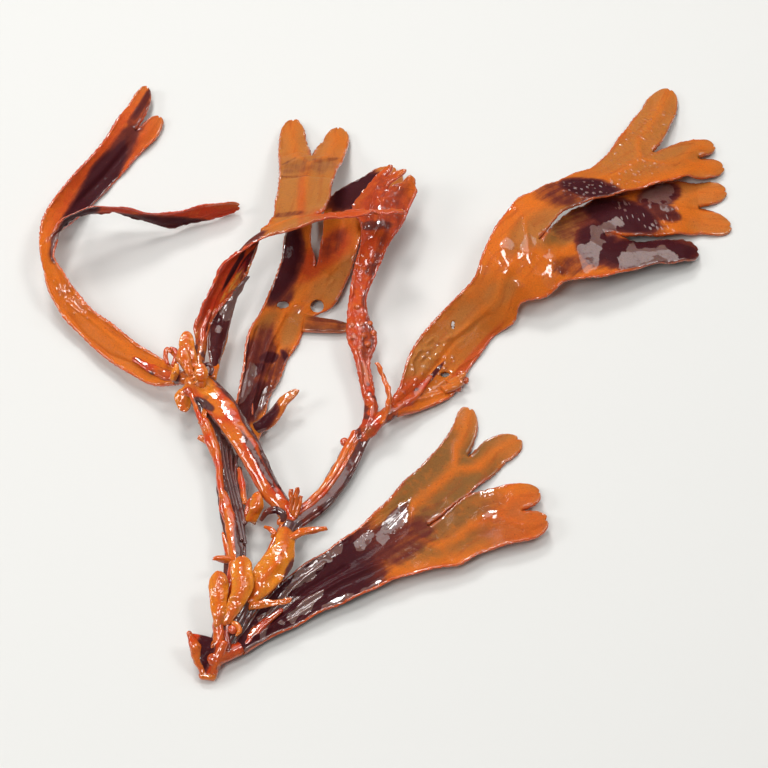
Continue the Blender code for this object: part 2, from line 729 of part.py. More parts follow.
def stem(name, stations, collection, last=()):
    """A ridged stem: a flattened ring carried along a smooth line, with flat ends."""
    known = np.array([[*laid(*s[0:3]), *s[3:5]] for s in stations])
    if len(last):
        known = np.vstack([known, last])
    steps = np.linalg.norm(np.diff(known[:, :3], axis=0), axis=1)
    knots = np.concatenate([[0.0], np.cumsum(steps)])
    at = np.linspace(0.0, knots[-1], max(2, round(knots[-1] / STEM_PITCH)) + 1)
    line = smooth(knots, known, at)
    ahead = smooth(knots, known, np.minimum(at + SHORT_STEP, knots[-1]))
    behind = smooth(knots, known, np.maximum(at - SHORT_STEP, 0.0))
    heading = unit(ahead[:, :3] - behind[:, :3])
    side = unit(np.cross(heading, [0.0, 0.0, 1.0]))
    over = np.cross(side, heading)
    turn = np.linspace(0.0, 2 * math.pi, STEM_SIDES, endpoint=False)
    ridge = 1 + RIDGE_DEPTH * np.cos(STEM_RIDGES * turn)
    across = np.cos(turn) * ridge
    rise = np.sin(turn) * ridge
    rings = (
        line[:, None, :3]
        + side[:, None] * (line[:, 3, None] * across)[:, :, None]
        + over[:, None] * (line[:, 4, None] * rise)[:, :, None]
    )
    points = rings.reshape(-1, 3)
    points[:, 2] = np.maximum(points[:, 2], 0.0)
    faces = []
    for i in range(len(at) - 1):
        for j in range(STEM_SIDES):
            k = (j + 1) % STEM_SIDES
            low = i * STEM_SIDES
            faces.append((low + j, low + STEM_SIDES + j, low + STEM_SIDES + k, low + k))
    faces.append(tuple(range(STEM_SIDES)))
    faces.append(tuple(range(len(points) - 1, len(points) - 1 - STEM_SIDES, -1)))
    obj = object_from(name, points, faces, collection)
    bm = bmesh.new()
    bm.from_mesh(obj.data)
    bmesh.ops.recalc_face_normals(bm, faces=bm.faces)
    bm.to_mesh(obj.data)
    bm.free()
    return obj


def branch_end(frond, half_width, half_depth):
    """The last two stations of a branch: in line with the frond's root, and just short of it."""
    first, second = frond[0][0], frond[0][1]
    root = (laid(*first[0:3]) + laid(*first[3:6])) / 2
    onward = (laid(*second[0:3]) + laid(*second[3:6])) / 2
    heading = unit(onward - root)
    end = root - heading * JOINT_GAP
    return [
        [*(end - heading * BRANCH_RUN), half_width, half_depth],
        [*end, half_width, half_depth],
    ]


def fused(first, others):
    """Joins the other objects to the first with one Boolean union."""
    tools = bpy.data.collections.new(first.name + " to join")
    bpy.context.scene.collection.children.link(tools)
    for other in others:
        for holder in list(other.users_collection):
            holder.objects.unlink(other)
        tools.objects.link(other)
    union = first.modifiers.new("Union", "BOOLEAN")
    union.operation = "UNION"
    union.operand_type = "COLLECTION"
    union.collection = tools
    union.solver = "MANIFOLD"
    pressed_flat(first)
    for other in list(tools.objects):
        mesh = other.data
        bpy.data.objects.remove(other)
        bpy.data.meshes.remove(mesh)
    bpy.data.collections.remove(tools)


def material(name, colour, roughness):
    made = bpy.data.materials.new(name)
    made.use_nodes = True
    shader = made.node_tree.nodes["Principled BSDF"]
    shader.inputs["Base Color"].default_value = (*colour, 1.0)
    shader.inputs["Roughness"].default_value = roughness
    shader.inputs["Metallic"].default_value = 0.0
    return made


def clear_scene():
    for obj in list(bpy.data.objects):
        bpy.data.objects.remove(obj)


def make_fronds(collection):
    blade_skin = material("wet blade", (0.55, 0.20, 0.05), 0.25)
    for name, frond in FRONDS.items():
        obj = blade(name, frond, COLUMNS, collection, {"holes": HOLES.get(name, {})})
        sprouts = [bladelet(arm, collection) for arm in SPROUTS.get(name, [])]
        sprouts += [knob(*place, collection) for place in KNOBS.get(name, [])]
        if sprouts:
            fused(obj, sprouts)
        obj.data.materials.append(blade_skin)


def make_stipe(collection):
    trunk = stem("stipe", STEM_LEFT, collection)
    others = [
        stem("stem_middle", STEM_MIDDLE, collection),
        stem("stem_right", STEM_RIGHT, collection),
        stem("stem_base", STEM_BASE, collection),
        blade("stub", STUB, BLADELET_COLUMNS, collection, {"thick": STUB_THICK}),
    ]
    for name, stations in BRANCHES.items():
        ends = branch_end(FRONDS[name], stations[-1][3], stations[-1][4])
        others.append(stem("branch to " + name, stations, collection, ends))
    others += [bladelet(arm, collection) for arm in BLADELETS]
    others += [knob(*place, collection) for place in KNOBS["stipe"]]
    fused(trunk, others)
    trunk.data.materials.append(material("wet stem", (0.42, 0.10, 0.03), 0.25))


def main():
    clear_scene()
    collection = bpy.data.collections.new("fucus_seaweed")
    bpy.context.scene.collection.children.link(collection)
    make_fronds(collection)
    make_stipe(collection)


main()
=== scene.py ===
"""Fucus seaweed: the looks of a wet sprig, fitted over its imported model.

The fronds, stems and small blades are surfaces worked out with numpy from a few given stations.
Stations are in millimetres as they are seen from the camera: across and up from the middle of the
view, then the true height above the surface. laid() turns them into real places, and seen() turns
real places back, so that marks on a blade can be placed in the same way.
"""

import math

import bpy
import mathutils
import numpy as np
from bpy.props import FloatProperty, FloatVectorProperty, PointerProperty
from bpy.types import Operator, Panel, PropertyGroup
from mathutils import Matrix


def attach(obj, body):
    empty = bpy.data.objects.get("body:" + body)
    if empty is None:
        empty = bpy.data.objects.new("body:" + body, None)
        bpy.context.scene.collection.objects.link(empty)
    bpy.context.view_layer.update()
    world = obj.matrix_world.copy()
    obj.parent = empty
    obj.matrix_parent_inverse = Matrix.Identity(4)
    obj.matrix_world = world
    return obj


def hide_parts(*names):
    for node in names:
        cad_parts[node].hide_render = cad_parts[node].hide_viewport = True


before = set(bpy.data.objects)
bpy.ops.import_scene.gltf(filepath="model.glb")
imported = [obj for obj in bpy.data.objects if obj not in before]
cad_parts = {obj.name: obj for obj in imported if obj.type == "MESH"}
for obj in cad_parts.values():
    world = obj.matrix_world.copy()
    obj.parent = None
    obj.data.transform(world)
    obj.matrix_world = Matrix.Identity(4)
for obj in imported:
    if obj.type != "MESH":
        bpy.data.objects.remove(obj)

bl_info = {
    "name": "Fucus seaweed",
    "version": (1, 0, 0),
    "blender": (4, 5, 0),
    "location": "3D View > Sidebar > Seaweed",
    "description": "Builds a wet sprig of fucus seaweed and its studio",
    "category": "Add Mesh",
}

MM = 0.001
# The view: degrees above the surface, mm from the eye to the middle, and mm across the middle
VIEW_TILT = 55.0
EYE_DISTANCE = 700.0
VIEW_SPAN = 245.76
SENSOR_WIDTH = 36.0
PLAN_CENTRE = np.array([1.4, 10.9, 0.0])
BODY = "root"

# How finely the surfaces are laid out: mm between rows, and points across or around
BLADE_PITCH = 0.5
BLADE_COLUMNS = 72
BLADELET_COLUMNS = 16
STEM_PITCH = 0.7
STEM_SIDES = 40
STRAND_SIDES = 14
BAND_SIDES = 28
CURL_PITCH = 0.25
CURL_SIDES = 18
KNOB_ROWS = 9
KNOB_SIDES = 16

# The form of a blade, in mm or as shares of its half width
FORK_FADE = 8.0
BEFORE_FORK = 2.8
FORK_RISE = 0.25
ROOT_LENGTH = 14.0
ROOT_THICK = 2.8
ROOT_THINNING = 0.45
TIP_ANGLE = math.radians(84)
TIP_BLUNTNESS = 0.8
TIP_THICKNESS = 0.35
TIP_FINENESS = 1.3
FEWEST_TIP_ROWS = 6
NOTCH_WIDTH = 0.4
NOTCH_BLADE = 8.0
RIM_SHARPNESS = 18.0
WAVE_LAG = 1.1
TOOTH_LAG = 0.25
TOOTH_FROM, TOOTH_BAND = 0.86, 0.14
TOOTH_SHAPE = 1.5
TOOTH_GRAIN = 6.0
TOOTH_LEAST, TOOTH_VARIES = 0.55, 0.45
THINNEST = 0.3
LOWEST = 0.12
BACK_RELIEF = 0.6
HOLE_REACH = 6.0
HOLE_PULL = 0.5

# The relief of a blade, and how noise wanders in it
CALM_SHARE = 0.5
CALM_REACH = 50.0
FOLD_WIDTH = 3.6
FOLD_SHAPE = 4.0
FOLD_WANDER, FOLD_BEND = 0.8, 7.0
RIB_RISE = 0.1
BEAD_PLACE = 0.5
BEAD_WIDTH = 0.4
BEAD_SHARE = 0.6
BEAD_SIZE = 1.3
BUMP_JITTER = 0.35
BUMP_SHARE = 0.75
BUMP_SEED = 3
NOISE_CELLS = 32
SMALLEST = 1e-9

# The form of the stems: their ridges and noise are shares of the radius
STEM_DEPTH = 0.07
BRANCH_DEPTH, BRANCH_RIDGES = 0.08, 4
STRAND_DEPTH, STRAND_RIDGES = 0.14, 3
CURL_DEPTH, CURL_RIDGES = 0.12, 3
FINE_BEAD = 0.1
END_SHARE = 0.03
RIDGE_SHARE = 0.5
RIDGE_TWIST = 9.0
STEM_ROUGHNESS, STEM_GRAIN = 1.3, 2.6
STRAND_WANDER, STRAND_BEND = 0.35, 11.0
STRAND_SWELL, STRAND_BULGE = 0.2, 7.0
STRAND_SEED = 7.3
KNOB_FLATNESS = 0.8
KNOB_ROUGHNESS, KNOB_GRAIN = 0.16, 1.6
ROOT_WIDTHS = (0.95, 0.75, 0.4)
ROOT_DEPTHS = (0.9, 0.6, 0.35)

# Marks on the tissue, in mm: how ragged an oval's edge is, and where water and red margins lie
BLOT_CORE, BLOT_FADE = 0.55, 0.65
BLOT_GRAIN = 7.0
BLOT_RAGGED = 0.08
FILM_GRAIN = 2.4
FILM_RAGGED = 0.35
RIB_GOLD = 0.6
RIB_PALE = 0.85
RIM_FROM, RIM_BAND = 0.88, 0.12
RIM_CLEAR = 0.8
CLEAR_FROM, CLEAR_FADE = 0.9, 0.07
RIM_FILM = 0.62
RIM_WET, RIM_WET_FADE = 1.1, 0.5
BUMP_WET = 0.4
WET_STEM, WET_STEM_VARIES, WET_STEM_GRAIN = 0.62, 0.15, 2.2
# How stained and golden the branches are, and a plain stem's patches and spots
BRANCH_STAIN, BRANCH_GOLD = 0.2, 0.15
PATCH_SIZE, STAIN_VARIES, GOLD_VARIES = 4.0, 0.2, 0.35
SPOT_SIZE, SPOT_FROM, SPOT_FADE, SPOT_STAIN = 3.0, 0.45, 0.3, 0.35
# The middle stem's flank of painted maroon shade, its flecks and how golden it is
FLANK_FROM, FLANK_FADE, FLANK_PAINTED_SHADE, FLANK_RAGGED = 0.55, 0.45, 0.8, 0.25
FLANK_GRAIN = 6.0
FLECK_SIZE, FLECK_FROM, FLECK_FADE, FLECK_STAIN = 5.0, 0.5, 0.3, 0.3
FLANK_GOLD, FLANK_GOLD_VARIES = 0.2, 0.5
# A strand that is less stained than this is as golden as that
PLAIN_STRAND, PLAIN_GOLD = 0.3, 0.2
# Stain, gold, pale, rim, flush and film of a knob
KNOB_MARKS = (0.1, 0.3, 0.0, 0.3, 0.5, 0.6)

# The wet tissue, in mm, and shares of water
STREAK_WIDTH = 1.6
STREAK_LENGTH = 18.0
MOTTLE_SIZE = 3.0
CELL_SIZE = 0.5
PIT_SPACING = 1.8
DROP_SPACING = 1.3
FILM_EVERYWHERE = 0.02
SKIN_BUMP = 0.35
RIPPLE_SHARE = 0.06
# A slot's material: its name, the colours of its thin and of its young tissue, the mm from
# one ripple of the water to the next, and how strongly a painted pale reflection of the sky
# shows where water stands on dark tissue
FINISHES = {
    "wet_blade": ("wet seaweed blade", "orange", "golden", 3.0, 0.42),
    "wet_stem": ("wet seaweed stem", "stem", "amber", 1.4, 0.2),
}

BOARD_SIDE = 4000.0
BOARD_GAP = 0.2
PAPER_GRAIN, PAPER_TOOTH = 4.0, 0.2
# Each lamp: degrees round from straight behind and above the board, metres away, its two
# sides in metres, and the setting that holds its power.
LAMPS = {
    "softbox": (16, 52, 1.15, 1, 0.6, "softbox"),
    "key lamp": (-19, 46.5, 1.2, 0.26, 0.26, "key"),
    "side lamp": (-100, 36, 1.2, 0.35, 0.35, "side"),
    "top lamp": (-40, 75, 1.2, 0.3, 0.3, "top"),
    "front lamp": (-150, 58, 1.2, 0.35, 0.35, "front"),
    "right lamp": (86, 60, 1.2, 0.3, 0.3, "right"),
}

# Sizes of the small blades in mm, and how they and the cut base are marked
SMALL_SIZES = {
    "edge_thick": 0.8,
    "rib_thick": 1.3,
    "rib_width": 1.2,
    "wave_height": 0.25,
    "wave_length": 8,
    "tooth_depth": 0.15,
    "tip_notch": 0.2,
    "tip_glow": 6,
    "margin_bead": 0.2,
}
STUB_SIZES = {**SMALL_SIZES, "edge_thick": 1.5, "rib_thick": 1.8, "tooth_depth": 0.3}
EVERYWHERE = (0.0, 0.0, 900.0, 900.0, 0.0)
YOUNG_LOOK = {
    # The stain is painted shade on the lower right of the broad wing.
    "stains": [(-31, -62, 7, 1.8, 70, 0.6)],
    "golds": [(*EVERYWHERE, 0.95)],
    "films": [(*EVERYWHERE, 0.55), (-53, 16, 6, 2.4, 80, 1), (-49, -72, 7, 4, 80, 0.8)],
    "roughs": [(-48.5, -66, 12, 8, 80, 2.3, 1.1, 0.5), (-62, 3, 12, 8, 80, 1.9, 0.9, 0.3)],
    "furrows": (0.3, 20),
    "crumple": (0.55, 2.6),
}
SPROUT_LOOK = {
    "stains": [
        (-39, -11.5, 7.5, 4, 45, 0.9), (-18, 19, 9, 4, 0, 0.35), (-50, 20, 26, 8, 68, 0.75),
    ],
    "pales": [(-18, 19, 9, 4, 0, 0.8)],
    "films": [(-30, -4, 5, 3, 60, 1), (-48, 27, 12, 3, 60, 1)],
    "furrows": (0.15, 12),
    "crumple": (0.3, 2.8),
}
# The stub's stain is painted shade inside its open trough.
STUB_LOOK = {"furrows": (0.5, 20), "crumple": (0.3, 2.4), "stains": [(-57, -85, 8, 4, 80, 1)]}

# Each frond is (rows, ending). A row is left across, up, height, right across, up, height, and the
# rise of the middle. An ending is a tip (across, up, height) or a pair of arms, left then right.
LOWER = (
    [
        (-47.4, -82.2, 4, -45.1, -86.7, 4, 0), (-42.9, -74.9, 4.6, -38.1, -82.2, 3.6, -1),
        (-35.8, -66.2, 4.6, -29.8, -78.4, 3.6, -1.6), (-27.8, -59.2, 4, -19.8, -73, 4, -1.8),
        (-17.9, -52.8, 3.6, -8.6, -68.2, 4.4, -1.8), (-7.7, -45.4, 3, 2.6, -63, 4.6, -1.6),
        (0.3, -37.8, 2.6, 13.1, -59.8, 4.6, -1.4), (6.1, -31.4, 2.4, 22.4, -58.2, 4.4, -1.2),
    ],
    (
        (
            [(13.1, -25, 2, 23.4, -38.1, 2.2, -0.4), (20.2, -16.6, 0.9, 33.9, -30.1, 1.1, 0.2)],
            (
                ([(22.7, -11.8, 0.4, 29.8, -16, 0.4, 0)], (27.5, -8, 0.4)),
                ([(32, -18.2, 0.4, 39, -25.3, 0.4, 0)], (43.2, -17.6, 0.4)),
            ),
        ),
        (
            [(27.5, -35.5, 2.6, 33, -53.4, 4.2, -0.6), (41, -32, 3.6, 47.4, -49.6, 4.4, 0.4)],
            (([], (49.9, -34.9, 3.2)), ([], (52.2, -43.5, 3.8))),
        ),
    ),
)
RIGHT = (
    [
        (0.6, -6.7, 6, 4.5, -10.6, 5, 0), (4.8, -1, 6.5, 13.1, -8, 2.5, -0.6),
        (7.7, 8.6, 6.5, 21.8, -3.8, 1.5, -1), (11.5, 15, 6.5, 25.6, 2.2, 1, -1),
        (16.6, 21.1, 7.5, 30.1, 8.3, 0.6, -0.6), (22.7, 27.5, 9.5, 35.2, 15, 0.6, 0.2),
        (28.5, 33.6, 12, 41.6, 19.8, 2, 1.4), (31.7, 42.2, 14.5, 44.2, 25.9, 5.5, 2.2),
        (35.2, 49.6, 15.5, 50.9, 27.5, 8, 2.6), (41.3, 57.9, 15, 57.3, 32.3, 9, 2.4),
    ],
    (
        (
            [
                (49.9, 62.7, 14, 57.9, 55.4, 13.5, 0.8), (58.2, 66.2, 12, 67.2, 58.9, 12, 0.8),
                (67.2, 69.8, 9, 77.4, 61.4, 10, 0.8), (76.8, 81, 5, 95.4, 66.2, 6.5, 0.8),
            ],
            (
                ([(82.6, 88.3, 2.2, 92.2, 83.5, 2.8, 0.6)], (91.5, 93.8, 0.6)),
                (
                    [(92.8, 76.5, 4, 98.2, 66.2, 5, 0.5), (98.9, 78.4, 2.5, 102.1, 65.6, 3, 0.4)],
                    (([], (105.6, 75.8, 0.8)), ([], (108.5, 69.1, 0.8))),
                ),
            ),
        ),
        (
            [(57, 53.4, 8, 66.2, 33.9, 9.5, 1), (66.2, 58.6, 5.5, 74.6, 35.2, 8.5, 1.2)],
            (
                (
                    [
                        (76.8, 62.2, 3.6, 80.6, 47.2, 6.5, 0.8),
                        (86.4, 64.6, 2.4, 91.2, 47.6, 4.8, 0.8),
                        (99.8, 64.4, 0.6, 101.6, 47.8, 0.8, 0.2),
                    ],
                    (([], (109.4, 61.4, 0.4)), ([], (111, 50.2, 0.4))),
                ),
                (
                    [(79.4, 45.6, 4.8, 84.5, 37.8, 7, 0.8), (94.9, 46.2, 2.8, 96, 39.2, 4.6, 0.8)],
                    (100.2, 41.9, 1.6),
                ),
            ),
        ),
    ),
)
MIDDLE = (
    [
        (-43.6, -18.2, 5.5, -41, -20.2, 5, 0), (-47, -11.5, 5.5, -38.6, -14.1, 2.5, 0),
        (-47.7, -6.7, 6, -37.1, -5.8, 1, -0.8), (-46.1, -0.3, 6, -33.9, 0.3, 0.8, -1),
        (-44.8, 8.6, 6, -30.4, 8.3, 0.6, -1), (-43.5, 16.3, 6, -27.2, 13.1, 0.6, -0.8),
        (-39.7, 23, 6, -24, 20.2, 1, -0.4), (-36.2, 30.7, 6, -16.3, 25, 2, 0.4),
        (-33, 39, 5, -10.9, 35.2, 3, 0.6),
    ],
    (
        (
            [(-32, 46.7, 4, -23.4, 45.1, 4, 0.4), (-30.1, 52.5, 2.5, -23, 51.8, 2.5, 0.4)],
            (-26.6, 56.3, 1),
        ),
        (
            [
                (-19.8, 47.4, 3.5, -8.6, 42.9, 4, 0.6), (-17.4, 59.8, 2.6, -4.4, 51.8, 4, 0.6),
                (-8.2, 65.2, 2, 1.4, 57.2, 3.4, 0.4),
            ],
            (4.4, 68, 1.4),
        ),
    ),
)
ARCHED = (
    [
        (-57, 12.2, 9, -60.2, 12.8, 9, 0), (-55.7, 17.9, 10, -60.5, 18.2, 12, 0.6),
        (-53.4, 23, 11, -58.2, 23.7, 15, 1.2), (-49.3, 27.2, 12, -55, 30.4, 18, 1.6),
        (-45.1, 32.6, 13, -51.8, 36.8, 21, 1.8), (-41.9, 39, 15, -47.4, 41.3, 23, 2),
        (-40.6, 44.2, 17.5, -40.3, 45.4, 25, 2), (-39, 48, 19.5, -30.7, 49, 26, 1.8),
        (-37.4, 50.6, 20.5, -18.9, 52.2, 26, 1.4), (-35.8, 52.5, 21, -6.4, 54.1, 25, 0.8),
    ],
    (
        (
            [
                (-34.9, 57.9, 19.5, -17.9, 57.9, 20, 0.6), (-33.6, 65.3, 15.5, -16.3, 65, 16, 0.5),
                (-33.9, 73, 8.5, -12.8, 72, 7.5, 0.4),
            ],
            (
                ([(-33.6, 78.1, 4.5, -25, 78.1, 4.5, 0.4)], (-29.1, 83.8, 1.6)),
                ([(-19.5, 77.4, 2.6, -11.2, 77.1, 2.2, 0.3)], (-14.7, 81.3, 0.6)),
            ),
        ),
        ([(-3.8, 55.4, 18.5, -0.3, 54.4, 24.5, 0.2)], (6.4, 54.6, 21)),
    ),
)
KNOBBLY = (
    [
        (-5.8, -8, 6.4, -2.4, -8, 6.4, 0), (-7.4, -1.3, 7, -3.2, -0.6, 7, -0.5),
        (-9.3, 7.7, 8, -4.5, 7, 8, -0.6), (-11.8, 14.7, 8.5, -2.2, 14.1, 8.5, 0.6),
        (-11.8, 20.5, 8.5, -4.8, 21.1, 8.5, 0.6), (-10.9, 29.4, 9.5, -5.4, 28.2, 9.5, -0.6),
        (-9.6, 37.1, 11, -2, 36.4, 11, -0.8), (-7.4, 45.1, 11.5, 1, 43.5, 11.5, 0.8),
        (-7.6, 51.2, 11, 5.8, 51, 11.5, 1.6), (-10, 56.6, 9.5, 9, 57.6, 11.5, 2.6),
        (-7.4, 60.6, 9.5, 10.6, 61.6, 12, 2.4),
    ],
    (
        (
            [(-2.6, 66.2, 11.5, 4.4, 65.4, 13, 0.6)],
            (([], (2.2, 69.6, 13)), ([], (6.4, 68.4, 13.4))),
        ),
        ([(6, 64.4, 13, 9.8, 63.6, 12.4, 0.4)], (8.8, 66.2, 13)),
    ),
)
LEFT = (
    [
        (-66.6, -0.3, 8, -65.3, 4.5, 9, 0), (-73.3, -0.6, 6, -71.7, 8.6, 8.5, -0.6),
        (-81.3, 3.2, 5, -78.7, 12.8, 8.5, -0.8), (-89.6, 8.6, 4, -86.7, 19.2, 8.5, -0.8),
        (-97.9, 16.3, 4, -93.4, 24, 9, -0.8), (-103.4, 22.4, 5, -98.2, 29.4, 10, -0.8),
        (-106.9, 28.8, 7, -102.1, 35.2, 12, -0.6), (-109.1, 36.5, 9, -105.3, 40.3, 13, -0.4),
        (-110.1, 43.8, 10, -104.6, 46.1, 14, 0),
    ],
    (
        (
            [
                (-110.1, 49.3, 10, -103.7, 48.6, 9, -0.4), (-108.2, 55.4, 9, -97.9, 53.1, 4, -0.8),
                (-104.6, 60.8, 8, -91.8, 58.6, 0.8, -1.4),
                (-98.2, 68.5, 7, -85.1, 65.6, 0.6, -1.6), (-91.8, 75.2, 6, -79.7, 71.7, 0.8, -1.2),
                (-85.4, 84.8, 5, -73.3, 78.1, 1.5, -0.6),
            ],
            (
                ([(-81.3, 89.9, 4, -76.2, 85.8, 3.6, 0)], (-75.5, 94.7, 3)),
                ([], (-71.7, 85.4, 1.4)),
            ),
        ),
        (
            [
                (-103, 52.8, 17, -102.4, 50.6, 10.5, 0.2), (-95.7, 56, 19, -95.4, 54.1, 11, 0.3),
                (-87, 57, 18, -87.7, 54.7, 9.5, 0.3), (-78.1, 55.4, 14, -78.7, 52.8, 6, 0.3),
                (-69.8, 54.7, 10, -69.8, 50.2, 2, 0.4), (-61.4, 56.6, 9, -60.8, 51.5, 0.8, 0.4),
                (-54.1, 57.9, 8, -53.1, 53.4, 0.6, 0.4),
            ],
            (-46.4, 57, 3),
        ),
    ),
)
FRONDS = {
    "frond_lower": LOWER,
    "frond_right": RIGHT,
    "frond_middle": MIDDLE,
    "frond_arched": ARCHED,
    "frond_knobbly": KNOBBLY,
    "frond_left": LEFT,
}

# A stem is a list of across, up, height, half its width, half its depth.
STEM_LEFT = [
    (-54.4, -85.1, 4.6, 2.2, 1.8), (-51.8, -77.1, 6, 2.4, 1.8), (-49.6, -67.5, 6, 2.8, 1.6),
    (-48, -56.3, 6, 3.4, 1.6), (-48, -46.7, 5.5, 3.8, 1.6), (-49.6, -37.1, 5.5, 4.2, 1.6),
    (-50.2, -27.5, 6, 4.2, 1.6), (-52.5, -20.2, 7, 3.6, 1.8), (-56, -13.1, 8, 3, 1.8),
    (-58.9, -5.8, 9, 3, 2), (-60.8, 1.3, 9.5, 3, 2.2),
]
STEM_MIDDLE = [
    (-30.1, -43.5, 6, 2.6, 2), (-32.6, -39, 7.5, 2.6, 2.2), (-36.5, -33.9, 9, 3, 2.4),
    (-40, -27.5, 10, 3.3, 2.5), (-43.8, -20.5, 11, 3.8, 2.6), (-47.7, -14.1, 11.5, 4, 2.6),
    (-52.2, -7, 11, 4.4, 2.6), (-56.6, -2.6, 10, 4.2, 2.5), (-60.5, 1.3, 9.5, 3.5, 2.5),
]
STEM_RIGHT = [
    (-31.4, -45.4, 6, 3, 2), (-26.2, -41.9, 5.2, 3, 1.9), (-19.8, -36.8, 4, 3.4, 1.8),
    (-15, -30.7, 3.4, 3.6, 1.8), (-11.2, -23.7, 3.6, 3.4, 1.8), (-7.7, -17.3, 5, 3, 1.8),
]
STEM_BASE = [
    (-52.4, -84.5, 4.6, 2, 1.6), (-46.7, -73.9, 6.6, 1.8, 1.5), (-42.2, -65.3, 7.5, 1.8, 1.5),
    (-37.4, -57, 7.5, 1.8, 1.5), (-33.6, -50.6, 7, 2, 1.6), (-30.6, -45, 6.2, 2.2, 1.8),
]
# Each of these ends just short of the frond that it carries.
BRANCHES = {
    "frond_left": [(-58.5, 0.6, 9.8, 3, 2.3), (-61.8, 2, 9.2, 2.6, 2.1)],
    "frond_arched": [(-60, 0, 9.6, 2.4, 2.2), (-59.4, 6.5, 9.2, 2, 1.9)],
    "frond_middle": [(-44.6, -22.4, 9.8, 1.8, 1.6), (-43.4, -21.2, 7.4, 1.7, 1.5)],
    "frond_knobbly": [(-7.7, -17.3, 5, 2.8, 1.8), (-4.9, -13.4, 5.8, 2.3, 1.8)],
    "frond_right": [(-6.2, -15.6, 5.4, 2.6, 1.8), (-1.8, -11.8, 5.8, 2.4, 1.8)],
    "frond_lower": [(-55, -88, 4, 2.4, 1.8), (-50.6, -86.6, 4.2, 2.2, 1.7)],
}

# What grows from a frond's own surface: the strip along the arched one's edge, the spike and the
# strap of the middle one, and the frill beside the root of the right one.
SPROUTS = {
    "frond_arched": [
        (
            [
                (-42.8, 34.9, 13.2, -44.6, 34.4, 13.4, 0),
                (-46.6, 28.4, 10.6, -50.2, 27.2, 11.2, 0.2), (-48.8, 20.6, 8.4, -55, 21, 10, 0.3),
                (-50.2, 15, 7.6, -56.4, 14.4, 9.2, 0.3), (-52.4, 8, 7.6, -55.8, 6.6, 8.8, 0.2),
            ],
            (-54.6, 1.8, 8.8),
        ),
    ],
    "frond_middle": [
        (
            [
                (-43, -13.6, 4, -41.4, -16.8, 4, 0), (-38, -10.2, 4.6, -34.8, -13, 4.2, 0.6),
                (-33.4, -4.6, 5.8, -30.8, -6.6, 5.6, 0.2),
            ],
            (-27.6, -1.8, 7),
        ),
        (
            [(-26, 22.4, 2, -26, 16.6, 1.4, 0), (-20.4, 21, 1.6, -20.4, 16.4, 1.4, 0.2)],
            (-10.8, 18, 1.6),
        ),
    ],
    "frond_right": [
        ([(17.6, -1, 2.2, 19.6, -3.4, 1.8, 0)], (25.4, 0.6, 4.2)),
        ([(19.6, 0.6, 2, 21.4, -1.4, 1.6, 0)], (26.2, 3.2, 3.6)),
    ],
}
# Round knobs on a frond or on the stem: across, up, height of the middle, radius.
KNOBS = {
    "frond_knobbly": [
        (-10.2, 18.8, 9.2, 1.1), (-7.2, 19, 9.8, 1), (-9.6, 15, 9.3, 1.1), (-6.6, 15.4, 9.9, 1),
        (-5.2, 12.8, 9.5, 1.1), (-3.4, 16.2, 9.1, 1.1), (-4.4, 19.4, 9.4, 0.9), (-7.8, 11.2, 9, 1),
        (-8.6, 24.6, 9.7, 1),
    ],
    "frond_right": [(24.6, 3.4, 2.2, 1.3), (26, 1.2, 2.2, 1.2), (23.6, -1.4, 2, 1.3)],
    "stipe": [
        (-62.6, -2.6, 9.6, 1.8), (-55.4, -4.8, 9.6, 1.7), (-12.6, -18.6, 4.6, 1.5),
        (-48.4, -78.6, 7.4, 1.5),
    ],
}
